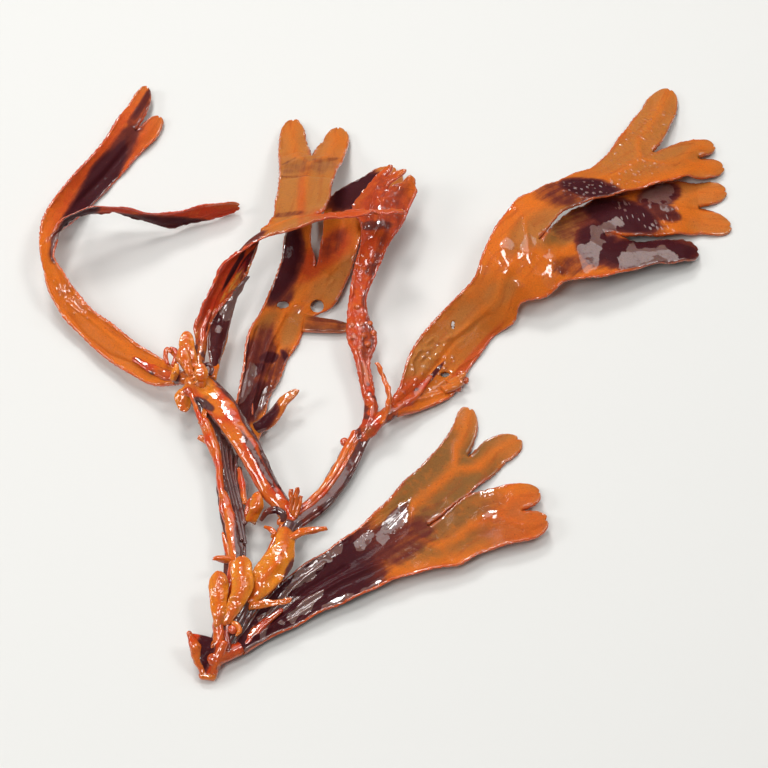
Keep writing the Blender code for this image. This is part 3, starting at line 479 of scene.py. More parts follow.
# A bladelet is rows and a tip, as an arm is. The stub is open at its cut end, so it has no tip.
STUB = (
    [
        (-58.2, -93.4, 1, -54.4, -93.8, 1, -0.2), (-60.2, -87, 4.8, -52.8, -88.4, 4.8, -1.2),
        (-62.6, -79.6, 8.4, -51, -82.8, 8, -3),
    ],
    None,
)
BLADELETS = [
    # The orange pair above the cut base
    (
        [
            (-52.8, -77.8, 7, -50.2, -76.8, 6.6, 0), (-50.4, -71.6, 9, -45.4, -71.6, 9, 0.6),
            (-48.8, -65.9, 11, -41.8, -65.3, 11, 1), (-49.2, -59.8, 11.5, -42.2, -58.8, 11, 0.6),
        ],
        (-45.6, -55.6, 10.5),
    ),
    (
        [
            (-54, -79.4, 6.6, -52, -78.8, 6.6, 0), (-55.4, -71.8, 9.4, -50.6, -71.2, 9, 0.6),
            (-56.2, -65.2, 10.6, -49.6, -65.4, 9.6, 0.8),
        ],
        (-52.8, -60.4, 10.6),
    ),
    # The broad orange wing that runs up to the junction
    (
        [
            (-44.6, -69.8, 7, -42.6, -71.4, 6.6, 0), (-42.2, -60.2, 9.4, -34.6, -65.2, 8.2, 0.8),
            (-38.8, -55.4, 10.6, -29.2, -58.2, 8.8, 1.4), (-35, -51.2, 10.4, -28.6, -52.8, 9, 1.2),
        ],
        (-31.4, -46.4, 6.6),
    ),
    # Its thin pointed tip
    (
        [(-31.4, -49.2, 8.4, -30.6, -51.6, 8.2, 0), (-26.8, -46.6, 9.4, -26.4, -48.6, 9.2, 0.2)],
        (-18.4, -46.2, 9),
    ),
    # Twigs at the base
    ([(-47.4, -57.6, 6.6, -47.4, -55.4, 7, 0)], (-54.8, -55.8, 8.6)),
    ([(-43.6, -72.6, 7, -43.4, -70.4, 7.4, 0)], (-29.6, -69.4, 9.4)),
    # Fingers and lobes at the junction
    ([(-30.6, -42, 6.4, -29, -42, 6.4, 0)], (-29.6, -33.6, 12.5)),
    ([(-30, -42.4, 6.4, -28.2, -42.6, 6.4, 0)], (-27.6, -33, 12)),
    ([(-29.2, -43, 6.2, -27.6, -43.4, 6.2, 0)], (-26.4, -35.8, 9.5)),
    (
        [(-45.4, -44, 5.4, -40.8, -44.4, 5.4, 0), (-42.8, -39.8, 8.5, -38.6, -39.2, 8.5, 0.5)],
        (-40.6, -35, 9.5),
    ),
    # Lobes of the left cluster
    (
        [(-61.4, 4.4, 10.6, -59.2, 4.6, 10.6, 0), (-65.6, 12.2, 12.5, -60.6, 12.4, 12.5, 0.5)],
        (-63.2, 16.2, 12.5),
    ),
    (
        [(-62.6, 2, 10.6, -60.6, 2.6, 10.6, 0), (-65.8, 7.4, 12.5, -62.2, 7.8, 12.5, 0.5)],
        (-64.6, 11.2, 12.8),
    ),
    ([(-61.6, 1.8, 9.8, -60.6, 3.6, 9.9, 0)], (-68.6, 11.2, 12.6)),
    ([(-60, -1, 11, -57, -1, 11, 0), (-60.4, 3, 14.5, -56.4, 3, 14.5, 0.6)], (-58.4, 5.6, 14.5)),
    (
        [(-60.6, -1.4, 9.4, -62.4, 0.4, 9, 0), (-61.6, -4.6, 8.2, -66.8, -3.8, 8.2, 0.5)],
        (-64.2, -8.8, 6.4),
    ),
    (
        [
            (-56.4, 1.2, 9.4, -53.6, 1.2, 9, 0), (-55.4, 7.6, 7.4, -52.2, 7.6, 7, 0.2),
            (-55.6, 13.8, 6.6, -50, 14, 6.6, 0.4),
        ],
        (-51.6, 22.4, 7),
    ),
    # Torn wings on the left stem
    ([(-52.2, -22, 6.6, -53, -18.4, 7.4, 0)], (-59.2, -17, 6.4)),
    ([(-57.4, -7.4, 9, -55.2, -6.8, 9.4, 0)], (-58.8, -12.8, 9.5)),
    # The thin twig beside the knobbly frond
    (
        [
            (-1.8, -13.2, 6.4, -0.2, -12.8, 6.2, 0), (1, -5.2, 10.6, 2.4, -4.8, 10.6, 0),
            (-0.8, 2.4, 11, 0.2, 3, 11, 0),
        ],
        (-2.4, 6.6, 11),
    ),
]

# What marks each frond, placed as its stations are. Stains (maroon) are partly the tissue's own
# dark colour and partly painted shade where a blade lies in shadow, in a channel or in a groove.
# Stains, pales (tan), golds, flushes (red) and films (standing water, which on dark tissue also
# carries a painted pale reflection) are ovals: across, up, half length, half width, turn in
# degrees, strength.
# A crease is a line of places, its half width and its height, below 0 for a groove. A rough patch
# is an oval without a strength, then the spacing, radius and height of its bumps. A hole is
# across, up, its two radii and its height. Furrows are a height and how far they reach from the
# root, and crumple is a height and the size of its grain. Sizes are those that differ from the
# panel's.
FROND_LOOKS = {
    "frond_lower": {
        "stains": [
            (-33, -68.5, 40, 20, 29, 1), (-4, -54, 13, 5, 33, 0.55), (3, -44, 8, 2.6, 50, 0.7),
            (4, -51, 16, 8, 25, 0.42), (14, -46, 18, 9, 25, 0.16), (30, -43.5, 17, 7, 14, 0.12),
        ],
        "pales": [
            (19, -30.7, 30, 15, 40, 1), (18, -47, 27, 10, 16, 0.95), (33, -47.5, 16, 6, 14, 0.45),
        ],
        "golds": [(29, -12, 8, 5, 60, 0.35), (47, -40, 9, 8, 10, 0.3)],
        "flushes": [(44, -43, 16, 9, 8, 0.3)],
        "films": [
            (-21.4, -57.9, 10, 2.9, 39, 1), (-27, -63, 9, 1.7, 42, 0.9),
            (-33.9, -72.3, 10, 1.9, 34, 1), (-26, -72.6, 10, 1.9, 40, 1),
            (-14.1, -69.8, 6.5, 1.5, 25, 0.9), (-3.8, -65.4, 4.6, 1.2, 25, 0.9),
            (-7, -51, 5, 2.2, 38, 1), (3.2, -44.5, 10, 2.8, 50, 1), (-38, -79, 4, 1.2, 60, 0.8),
            (33, -35.2, 2.6, 1.8, 0, 1), (33.9, -41.9, 2.8, 2.2, 45, 1), (31, -54.1, 3, 1, 20, 1),
        ],
        "creases": [
            ([(-7.7, -46.4), (2.6, -39.7), (7.7, -36.5)], 0.5, -0.35),
            ([(-5, -47.5), (3.8, -41.5)], 0.5, 0.3), ([(0.6, -46.4), (8.3, -38.4)], 0.4, -0.3),
            ([(-38.4, -80), (-25.6, -70.4), (-12.8, -63), (0, -57.5)], 0.8, 0.8),
            ([(-38.4, -76), (-28.8, -65), (-19.2, -57.6)], 0.8, 0.75),
            ([(-41.6, -82), (-28.8, -75.5), (-19.2, -69)], 0.7, 0.75),
            ([(-36, -75.5), (-24, -65.5), (-12, -58.5)], 0.7, -0.6),
            ([(32.4, -34.6), (36.4, -34.2)], 1.6, 0.6),
            ([(31.8, -42.4), (34, -41), (36.4, -41)], 1.6, 0.6),
        ],
        "furrows": (0.35, 70),
        "crumple": (0.25, 4.5),
    },
    "frond_right": {
        "stains": [
            (66, 62.4, 11, 3.4, -8, 0.95), (61, 60.5, 15, 5.5, 0, 0.42),
            (74, 50, 20, 8, -12, 0.42), (76, 53.5, 14, 6, -14, 1), (88, 60, 8, 4.2, 15, 0.75),
            (90, 54.5, 6, 3, -20, 0.6), (84, 41.8, 19, 6, 0, 1), (68, 45, 8, 8, 30, 0.85),
            (60, 50, 8, 5, 30, 0.3), (60, 38, 7, 4, 10, 0.35), (15.5, 2.5, 7, 0.9, 50, 0.7),
        ],
        "pales": [
            (19.5, 14.9, 28, 13, 46, 0.5), (58.2, 50.6, 11, 7, 40, 1), (78, 72, 24, 10, 30, 0.35),
            (95, 73, 12, 4, 12, 0.5), (44, 48, 9, 4, 60, 0.6), (100, 42, 4, 2.6, 0, 0.7),
        ],
        "golds": [
            (87, 86, 16, 7, 60, 0.85), (13, 9, 10, 5, 48, 0.9), (25, 19, 9, 5, 58, 0.9),
            (37, 29, 8, 4, 40, 0.7), (49, 50, 10, 5, 45, 0.8), (62, 50, 8, 5, 35, 0.8),
            (84, 73, 18, 7, 10, 0.7), (101, 62, 10, 6, 10, 0.6), (104, 51, 8, 4, 0, 0.5),
        ],
        "flushes": [(6, -4, 9, 5, 40, 0.7), (28, 8, 16, 1.6, 50, 0.6)],
        "films": [
            (87, 60.8, 7, 3.2, 15, 0.9), (70.7, 49.6, 7, 2.6, 15, 0.9),
            (66.2, 41.6, 6.5, 4.5, 90, 0.9), (83.5, 39.4, 11, 4.5, -5, 1),
            (91.2, 56.3, 3.4, 1.8, 20, 0.8), (39, 41.3, 6, 2.4, 75, 1),
            (45.1, 41.6, 6, 2.8, 80, 1), (42.6, 32.3, 2.2, 1.8, 0, 1), (53.4, 36.2, 6, 3, 85, 1),
            (32, 36.5, 2.4, 1.6, 0, 1), (14, -3, 12, 2, 20, 0.8),
        ],
        "creases": [
            ([(4, -7), (11, -1.5), (14.4, 3.2), (17.6, 7)], 0.7, -0.6),
            ([(17.6, 7), (22, 13), (28.8, 18.5), (33, 22)], 0.8, -0.3),
            ([(3, -5), (9.6, 0.6), (14.4, 6.4), (20.5, 13.8), (27, 18.6)], 0.9, 0.45),
            ([(9.2, 3.2), (8.6, 7), (11, 10.4), (14.2, 10.6)], 0.65, 0.55),
            ([(13, 6.2), (14.6, 8), (13, 9), (11.6, 7.6)], 0.5, 0.45),
            ([(13.6, 12.8), (15.6, 14.6), (18, 13), (20.4, 14.4)], 0.55, 0.4),
            ([(20.6, 17.8), (21.4, 15.4), (19.6, 14)], 0.55, 0.4),
            ([(6, -5.8), (12, -5), (19, -3), (24.6, 0.4)], 0.8, 0.6),
            ([(16, -2), (20, 1.4), (24, 5.4), (30, 9.5)], 0.6, 0.3),
            ([(38.4, 43), (40, 37)], 2.2, 0.5), ([(44.4, 45), (46.2, 39)], 2.2, 0.5),
            ([(52.8, 39.6), (53.6, 34)], 2.4, 0.6), ([(42.2, 33), (43, 31.6)], 1.6, 0.4),
        ],
        "roughs": [
            (13, 3, 15, 8, 46, 2.6, 1, 0.3), (84, 76, 20, 10, 40, 2.3, 0.85, 0.5),
            (68, 62, 15, 4, 0, 2.1, 0.7, 0.4), (86, 54, 16, 7, -15, 2, 0.7, 0.4),
        ],
        "holes": [(22.1, 18.9, 0.6, 1.3, 6), (19.5, 2.9, 1.5, 0.8, 3)],
        "furrows": (0.25, 40),
        "crumple": (0.25, 5),
    },
    "frond_middle": {
        "stains": [
            # The first stain is a painted shadow: the arched frond's shadow on the upper left.
            (-33.9, 39, 15, 8.5, 75, 1), (-32, 29, 6, 4, 60, 0.45), (-16.6, 44.5, 8, 3.5, 50, 0.3),
            (-8.5, 61, 11, 5.5, 28, 1), (-37.1, 8.3, 3.6, 2.2, 10, 0.8),
            (-41, 4.2, 3.6, 2.6, 40, 0.75), (-41.5, 6, 16, 6.5, 70, 0.5),
            (-44.5, 9, 9, 1.3, 82, 0.7), (-30.7, 7, 5, 1.3, -60, 0.8), (-34, 2, 12, 4, 65, 0.42),
            (-42.5, -6, 10, 5, 66, 0.7),
        ],
        "pales": [
            (-37.1, 17.9, 7, 4.5, 60, 0.7), (-41, -4, 11, 1.3, 62, 0.8),
            (-37.5, -6, 9, 1, 60, 0.7), (-18, 32, 8, 4, 55, 0.4),
        ],
        "golds": [
            (-14, 33.3, 10, 4.5, 62, 0.9), (-30, 17.3, 8, 3.2, 72, 0.9),
            (-22, 31, 8, 4.5, 20, 0.6),
        ],
        "flushes": [(-24, 38, 9, 5, 40, 0.8), (-16.6, 43.5, 9, 5, 50, 0.8)],
        "films": [
            (-44, 0, 9, 1.7, 72, 0.8), (-39, -6, 8, 1.4, 65, 0.8), (-27, 24, 2.4, 1.6, 0, 1),
        ],
        "creases": [
            ([(-44, -12), (-41, 0), (-37, 12), (-32, 22)], 0.6, 0.5),
            ([(-41, -10), (-37.5, 2), (-33.5, 12)], 0.5, -0.5),
            ([(-46, -4), (-43.5, 8), (-40.5, 18)], 0.5, -0.45),
            ([(-39, -12), (-35.5, -2), (-31, 8)], 0.5, 0.4),
            ([(-19, 33), (-14.5, 38), (-11, 40)], 0.5, 0.35),
            ([(-20.5, 36), (-16, 33), (-18.5, 30.5)], 0.45, 0.4),
        ],
        "holes": [(-21.4, 24.9, 2.1, 2, 2), (-32.3, 25.3, 1.9, 1.1, 4)],
        "furrows": (0.6, 40),
        "crumple": (0.45, 5),
    },
    "frond_arched": {
        "sizes": {"margin_bead": 0.6},
        "stains": [
            # The thin stains are painted shade in the grooves of the lower ribbon and in the folds
            # across the upper arm.
            (-48.5, 36.5, 8.5, 0.9, 62, 1), (-44.8, 39, 5, 0.8, 59, 0.9),
            (-46.6, 31.5, 9, 2.6, 57, 0.3), (-43, 39.5, 8, 1.2, 64, 0.75),
            (-42, 46, 6, 1.4, 30, 0.5), (-29, 66.2, 7, 0.4, 3, 0.3), (-17, 71.4, 5, 0.5, 8, 0.25),
            (-30.6, 70.8, 3.6, 0.5, 24, 0.3), (-30, 54, 7, 1.2, 5, 0.3), (-25, 69, 12, 3, 4, 0.22),
            (-58, 14, 6, 0.8, 75, 0.6),
        ],
        "pales": [
            (-25.9, 58.5, 14, 12, 90, 0.66), (-25, 69, 12, 3.4, 4, 0.85),
            (-36, 48, 12, 3, 25, 0.4),
        ],
        "golds": [(-25.5, 66, 22, 15, 90, 0.85), (-35, 49, 8, 2, 25, 0.6)],
        "flushes": [
            (-50, 30, 20, 13, 62, 1), (-8, 54, 18, 3, 3, 0.7), (-26.4, 58, 12, 1.6, 90, 0.4),
        ],
        "films": [(-47, 27.5, 8, 2.2, 60, 0.9)],
        "creases": [
            ([(-34, 65), (-25.6, 66.6), (-17.5, 66.2)], 0.5, -0.5),
            ([(-33, 69), (-24, 72.6), (-14, 71.5)], 0.5, 0.3),
            ([(-34, 72.4), (-27, 74), (-20.5, 72.6)], 0.4, -0.3),
            ([(-58, 14), (-54, 28), (-47, 39.5), (-38, 47)], 0.5, -0.6),
            ([(-55.5, 18), (-51, 30), (-44.5, 39.5)], 0.5, 0.4),
        ],
        "furrows": (0.45, 60),
        "crumple": (0.2, 5),
    },
    "frond_knobbly": {
        "sizes": {"margin_bead": 0.5},
        "stains": [
            (-2.9, 36.5, 4, 2.6, 20, 0.4), (-5.5, 27, 5, 2, 80, 0.35), (-3, 50.5, 8, 1.8, 2, 0.45),
            (2, 57, 12, 10, 60, 0.24), (-1, 40, 14, 3, 75, 0.3), (-5, 16, 12, 2.4, 85, 0.35),
        ],
        "pales": [(-8, 57, 6, 2.6, 60, 0.6), (-6.4, 30, 5, 2.4, 90, 0.4)],
        "flushes": [(-2, 28, 50, 16, 86, 0.85)],
        "films": [(-4, 26, 44, 12, 86, 0.43)],
        "creases": [
            ([(-5, 54.5), (-2.6, 60.8), (0, 66)], 0.4, 0.5), ([(-10, 0), (-8.6, 10)], 0.5, 0.35),
            ([(4, 62), (3.6, 66)], 0.4, -0.4),
        ],
        "roughs": [(-7, 16, 10, 6, 90, 2.1, 1, 0.6), (-6, 36, 12, 5, 80, 3, 1.1, 0.4)],
        "furrows": (0.3, 30),
        "crumple": (0.35, 5),
    },
    "frond_left": {
        "sizes": {"margin_bead": 0.5},
        "stains": [
            # These stains are mostly painted shade: the dark middle of the upper arm's channel and
            # the shaded face of the arm that stands on edge.
            (-92, 63, 20, 5, 56, 1), (-84, 75, 13, 4, 56, 0.55), (-79, 84, 10, 3, 58, 0.4),
            (-101, 49, 12, 4, 64, 0.95), (-77.4, 89, 8, 1.4, 60, 0.55),
            (-72, 52, 30, 2.4, -3, 0.78), (-88, 40, 8, 3, 80, 0.5), (-99, 44, 9, 3, 70, 0.85),
        ],
        "pales": [(-97.5, 47, 7, 1.2, 60, 0.6)],
        "golds": [(-86, 11, 18, 3, -38, 0.3)],
        "flushes": [(-90, 68, 32, 11, 56, 0.7), (-68, 54, 38, 6, -1, 1)],
        "films": [
            (-101.4, 45.8, 6, 3.5, 60, 0.9), (-102.4, 29.4, 3, 2, -60, 1),
            (-97.9, 25.6, 3.5, 2, -50, 1),
        ],
        "creases": [
            ([(-101, 22), (-95.7, 15.7), (-87.7, 9.3), (-71.7, 2.9)], 0.5, -0.35),
            ([(-98, 58), (-90, 66), (-80, 78)], 0.9, -0.5),
            ([(-101, 26), (-94, 21), (-84, 12.5)], 0.6, 0.3),
            ([(-103.4, 33.4), (-102.6, 30)], 0.9, 0.5), ([(-98.6, 29), (-96.2, 25.4)], 0.9, 0.5),
        ],
        "roughs": [(-100, 27, 9, 3, -50, 2.2, 0.9, 0.35)],
        "furrows": (0.08, 50),
        "crumple": (0.2, 5),
    },
}

# Strands that run along a stem: their place across it and over it as shares of its half width and
# half depth, their radius in mm and how maroon they are.
LEFT_STRANDS = [(0.5, -0.1, 0.6, 0.7), (0.8, -0.2, 0.55, 0.6)]
MIDDLE_STRANDS = [(0.93, -0.1, 0.75, 0.6)]
RIGHT_STRANDS = [
    (-0.5, 0.35, 1.3, 0), (-0.1, 0.4, 0.9, 0.15), (0.25, 0.2, 0.6, 0.6), (0.5, 0.1, 0.65, 0.4),
    (0.85, -0.1, 0.6, 0.55),
]
BASE_STRANDS = [
    (-0.5, 0.4, 0.8, 0.1), (0.2, 0.3, 0.75, 0.6), (0.9, 0.1, 0.7, 0.6), (1.6, -0.4, 0.7, 0.7),
]

# A stem's stations, what share of their width and depth it takes up, how many ridges run along
# it, how maroon it is (None: a painted maroon shade down one flank), and its strands.
STEMS = [
    (STEM_LEFT, 0.85, 0.6, 5, 0.7, LEFT_STRANDS),
    (STEM_MIDDLE, 1.04, 0.9, 2, None, MIDDLE_STRANDS),
    (STEM_RIGHT, 0.95, 0.7, 5, 0.55, RIGHT_STRANDS),
    (STEM_BASE, 1, 0.9, 4, 0.65, BASE_STRANDS),
]

# Marks on the stems and on all that grows from them, as on the fronds. The stains are mostly
# painted shade: the dark band below the left cluster and dark lines down the shaded edges of the
# stems.
STEM_LOOK = {
    "stains": [
        (-57.5, -6.4, 4, 1.5, -30, 0.8), (-49.5, -20, 13, 1.1, -58, 0.7),
        (-40.5, -24, 14, 1, -60, 0.6), (-45.6, -58, 16, 1.6, -83, 0.8),
    ],
    "golds": [
        (-57, -0.6, 5.5, 3.4, -50, 0.9), (-61, 6, 9, 6, 70, 0.6), (-55, -6, 6, 2.4, -52, 0.6),
        (-49.5, -50, 14, 1.4, -85, 0.5), (-17, -28.5, 15, 1.4, 55, 0.5),
    ],
}

# Small curls, hooks, rims and strands: stations, how maroon, how golden, how beaded.
CURLS = [
    # The cut base: the trough's two rims, its blunt end, the neck and a strand beside it
    (
        [
            (-57.4, -93, 1.6, 1.4, 1.1), (-59.4, -88, 4.2, 1.6, 1), (-61, -82.8, 7, 1.6, 1),
            (-62.4, -79.6, 8.2, 0.8, 0.6),
        ],
        0, 0.3, 0.1,
    ),
    (
        [
            (-55.4, -93.4, 1.5, 1.5, 1.2), (-53.8, -89.6, 3.6, 1.5, 1.3),
            (-52.4, -85.8, 5.6, 1.6, 1.3), (-51.4, -83.2, 7.2, 1.3, 1.1),
        ],
        0, 0.1, 0.06,
    ),
    ([(-58, -93.2, 1.6, 1.3, 1.2), (-54.8, -93.4, 1.6, 1.4, 1.2)], 0, 0.35, 0),
    (
        [
            (-51.6, -73.4, 8.2, 1.9, 1.6), (-52.8, -77.6, 7.2, 1.8, 1.5),
            (-53, -81.6, 6.4, 1.5, 1.3), (-55.4, -85.4, 4.6, 1.3, 1.2), (-57, -89.2, 2.8, 1.2, 1),
        ],
        0.05, 0.3, 0.12,
    ),
    (
        [
            (-50.2, -75.4, 7.4, 0.9, 0.9), (-50.4, -80.2, 6.6, 0.9, 0.9),
            (-49.8, -84.8, 5.6, 0.8, 0.8), (-51.4, -88.4, 3.8, 0.8, 0.8),
        ],
        0.35, 0, 0.1,
    ),
    (
        [
            (-48.8, -76.2, 7.4, 0.6, 0.5), (-46.9, -77.2, 7.8, 0.9, 0.7),
            (-46.2, -79, 7.8, 0.8, 0.7), (-47.2, -80.4, 7.2, 0.4, 0.4),
        ],
        0, 0.5, 0,
    ),
    # Hooks and a ring beside the left cluster
    (
        [
            (-69.4, 6.8, 11.2, 0.7, 0.6), (-70, 9.2, 12.2, 0.8, 0.7),
            (-69.4, 11.2, 12.8, 0.9, 0.7), (-68.4, 10.4, 13, 0.6, 0.5),
        ],
        0.1, 0.1, 0.15,
    ),
    (
        [
            (-67.4, 6.2, 11.2, 0.7, 0.7), (-66.6, 8.8, 12.4, 0.8, 0.7), (-67, 10.9, 13, 0.8, 0.7),
            (-68.2, 11.6, 13.2, 0.5, 0.4),
        ],
        0.1, 0, 0.15,
    ),
    (
        [
            (-58.2, 5.4, 12.6, 0.6, 0.6), (-56.4, 6.4, 13, 0.7, 0.6), (-55, 5, 12.6, 0.7, 0.6),
            (-55.6, 3.2, 12, 0.6, 0.6),
        ],
        0.5, 0, 0.1,
    ),
    (
        [(-67.6, 1.8, 11, 1.2, 0.8), (-66.8, 4, 12.4, 1.3, 0.9), (-66.4, 6.2, 12.8, 0.7, 0.5)], 0,
        0.9, 0,
    ),
    ([(-59.4, 3.6, 13.6, 0.7, 0.6), (-61.4, 3.2, 13.8, 0.4, 0.4)], 0, 0.4, 0),
    ([(-59.4, 2.2, 13.6, 0.7, 0.6), (-61.6, 1.6, 13.6, 0.4, 0.4)], 0, 0.3, 0),
    ([(-59.4, 1, 13.4, 0.7, 0.6), (-61, 0.2, 13.2, 0.4, 0.4)], 0, 0.3, 0),
    # The torn edge that runs down between the two stems
    (
        [
            (-61.6, -3.4, 10.4, 0.7, 0.6), (-60, -8, 10.4, 0.8, 0.6), (-58, -13, 9.8, 0.7, 0.6),
            (-55.2, -18, 9, 0.6, 0.5),
        ],
        0, 0.2, 0.2,
    ),
    # Curls and arcs at the junction
    (
        [
            (-43.8, -43, 6.6, 0.8, 0.7), (-43.6, -39.8, 8.4, 0.8, 0.7),
            (-42.4, -37.2, 9.4, 0.8, 0.7), (-41.2, -38.2, 9.6, 0.5, 0.4),
        ],
        0.2, 0.2, 0.15,
    ),
    (
        [
            (-39.2, -43.2, 6.6, 0.8, 0.7), (-37.2, -40.8, 8.6, 1.1, 0.9),
            (-34.4, -40.2, 9.2, 1.2, 1), (-32.2, -41.8, 8.6, 1.1, 0.9),
            (-32.6, -44.4, 7, 0.9, 0.8),
        ],
        0.5, 0, 0.1,
    ),
    (
        [
            (-38, -45.8, 7.2, 0.5, 0.5), (-36.2, -46.6, 8.2, 0.9, 0.7),
            (-35.2, -47.8, 8.2, 0.9, 0.7), (-35.8, -48.8, 7.6, 0.5, 0.5),
        ],
        0, 0.5, 0,
    ),
]

# The left stem's own parts: its orange band, which crosses from the outside at the top to the
# middle lower down, and the maroon strands beside and behind it. Stations, then the same values.
BANDS = [
    (
        [
            (-57.4, -12, 9.4, 1.6, 1.3), (-54.6, -19.5, 8.2, 2, 1.3),
            (-52.8, -26.5, 7.4, 1.2, 1.1), (-52.4, -32, 7, 1.1, 1), (-51, -37.6, 7, 1.6, 1.2),
            (-49.4, -43.5, 7, 1.8, 1.3), (-48.2, -49.9, 7.2, 2, 1.3), (-47.5, -56.3, 7.4, 2, 1.2),
            (-48.8, -62, 7.4, 1.3, 1.1), (-50, -67, 7.2, 1.1, 1), (-51.4, -73, 7, 1.2, 1),
        ],
        0, 0.2, 0.1,
    ),
    (
        [
            (-51.6, -34.4, 7.4, 0.5, 0.5), (-52, -39.5, 7.4, 0.7, 0.6),
            (-50.6, -44.5, 7.4, 0.5, 0.5),
        ],
        0, 0.1, 0.4,
    ),
    (
        [
            (-51.6, -47.6, 7.4, 0.4, 0.4), (-50.6, -51, 7.6, 0.9, 0.6),
            (-49.4, -56.6, 7.6, 0.6, 0.5),
        ],
        0.1, 0.1, 0.3,
    ),
    (
        [
            (-52, -18.6, 7.8, 0.6, 0.6), (-51, -25.6, 7.4, 0.6, 0.6), (-49.4, -32.8, 7, 0.6, 0.6),
            (-47.4, -41, 6.6, 0.6, 0.6), (-45.6, -49.9, 6.6, 0.8, 0.6),
        ],
        0.7, 0, 0.1,
    ),
    (
        [
            (-50.4, -20, 7.8, 0.5, 0.5), (-49.8, -26.5, 7.4, 0.6, 0.6),
            (-48.4, -33.5, 7, 0.6, 0.6), (-46.2, -41.6, 6.4, 0.6, 0.6),
            (-44.4, -51, 6.4, 0.6, 0.6),
        ],
        0.85, 0, 0.1,
    ),
    (
        [
            (-48.8, -21, 7.8, 0.5, 0.5), (-48.8, -27, 7.4, 0.6, 0.6), (-47.4, -34, 7, 0.6, 0.6),
            (-45, -41.6, 6.4, 0.8, 0.6),
        ],
        0.6, 0, 0.1,
    ),
    (
        [
            (-47, -23, 7.6, 0.6, 0.5), (-47.6, -30, 7.2, 0.6, 0.6), (-46.6, -36, 6.8, 0.9, 0.6),
            (-44.6, -44.6, 6.4, 1, 0.7),
        ],
        0.55, 0, 0.1,
    ),
    (
        [(-46.2, -27, 7.8, 0.8, 0.6), (-45.4, -32, 7.6, 1, 0.7), (-44.4, -38, 7, 0.9, 0.7)], 0,
        0.3, 0.2,
    ),
]

NOISE_TABLE = np.random.default_rng(11).uniform(-1.0, 1.0, (NOISE_CELLS,) * 3)


def linear(colour):
    """A colour written in sRGB hex as the linear values that a shader takes."""
    parts = [int(colour[i : i + 2], 16) / 255 for i in (1, 3, 5)]
    return [c / 12.92 if c <= 0.04045 else ((c + 0.055) / 1.055) ** 2.4 for c in parts]


def laid(places):
    """Real places in mm of (across, up, height) triples.

    Each is where the line of sight through (across, up) is at that height above the surface.
    """
    across, up, height = np.moveaxis(np.asarray(places, float), -1, 0)
    tilt = math.radians(VIEW_TILT)
    eye = EYE_DISTANCE * np.array([0.0, -math.cos(tilt), math.sin(tilt)])
    view = np.stack([across, up * math.sin(tilt), up * math.cos(tilt)], -1)
    reach = (height - eye[2]) / (view[..., 2] - eye[2])
    return eye + reach[..., None] * (view - eye)


def seen(points):
    """How far across and up real places are seen: where their lines of sight cross the middle."""
    tilt = math.radians(VIEW_TILT)
    axis = np.array([0.0, -math.cos(tilt), math.sin(tilt)])
    sight = points - EYE_DISTANCE * axis
    hit = EYE_DISTANCE * axis - sight * (EYE_DISTANCE / (sight @ axis))[..., None]
    return hit @ np.array([[1.0, 0.0], [0.0, math.sin(tilt)], [0.0, math.cos(tilt)]])


def unit(vectors):
    return vectors / np.maximum(np.linalg.norm(vectors, axis=-1, keepdims=True), SMALLEST)


def ease(t):
    """0 up to t = 0, 1 from t = 1 on, and 3t^2 - 2t^3 between them."""
    t = np.clip(t, 0.0, 1.0)
    return t * t * (3 - 2 * t)


def smooth(knots, values, at):
    """A smooth curve through the values at the knots, read at other places (cubic Hermite)."""
    if len(knots) == 1:
        return np.repeat(values, len(at), axis=0)
    slopes = np.gradient(values, knots, axis=0)
    i = np.clip(np.searchsorted(knots, at, side="right") - 1, 0, len(knots) - 2)
    span = knots[i + 1] - knots[i]
    t = ((at - knots[i]) / span)[:, None]
    span = span[:, None]
    start = (1 + 2 * t) * (1 - t) ** 2 * values[i] + t * (1 - t) ** 2 * span * slopes[i]
    end = t**2 * (3 - 2 * t) * values[i + 1] - t**2 * (1 - t) * span * slopes[i + 1]
    return start + end


def noise(places, scale, shift=0.0):
    """Smooth noise from -1 to 1: a table's values at whole cells, eased from one to the next.

    scale is the size of a cell, and shift moves the pattern, so that two are not alike.
    """
    cells = places / scale + shift
    low = np.floor(cells).astype(int)
    t = ease(cells - low)
    total = 0.0
    for corner in np.ndindex(2, 2, 2):
        x, y, z = np.moveaxis((low + corner) % NOISE_CELLS, -1, 0)
        share = np.where(corner, t, 1 - t).prod(-1)
        total = total + share * NOISE_TABLE[x, y, z]
    return total


def rough_noise(places, scale, shift=0.0):
    """Two octaves of smooth noise, the second half as large and half as strong."""
    return noise(places, scale, shift) + 0.5 * noise(places, scale / 2, shift + 5.3)


def line_distance(view, line):
    """The shortest distance from each seen place to a line of straight stretches."""
    line = np.asarray(line, float)
    near = np.full(view.shape[:-1], np.inf)
    for a, b in zip(line[:-1], line[1:]):
        t = np.clip(((view - a) @ (b - a)) / ((b - a) @ (b - a)), 0.0, 1.0)
        near = np.minimum(near, np.linalg.norm(view - a - t[..., None] * (b - a), axis=-1))
    return near


def blot(view, across, up, half_length, half_width, turn, grain=BLOT_GRAIN, torn=BLOT_RAGGED):
    """An oval mark with a ragged edge: 1 well inside, 0 outside, eased between them."""
    turn = math.radians(turn)
    offset = view - np.array([across, up])
    along = offset @ np.array([math.cos(turn), math.sin(turn)])
    beside = offset @ np.array([-math.sin(turn), math.cos(turn)])
    flat = np.concatenate([view, view[..., :1] * 0], axis=-1)
    radius = np.hypot(along / half_length, beside / half_width) + torn * rough_noise(flat, grain)
    return 1.0 - ease((radius - BLOT_CORE) / BLOT_FADE)


def oval_marks(view, ovals, *edge):
    """The strongest of the oval marks at each place, with the same edge."""
    marks = [strength * blot(view, *oval, *edge) for *oval, strength in ovals]
    return np.maximum.reduce(marks) if marks else np.zeros(view.shape[:-1])


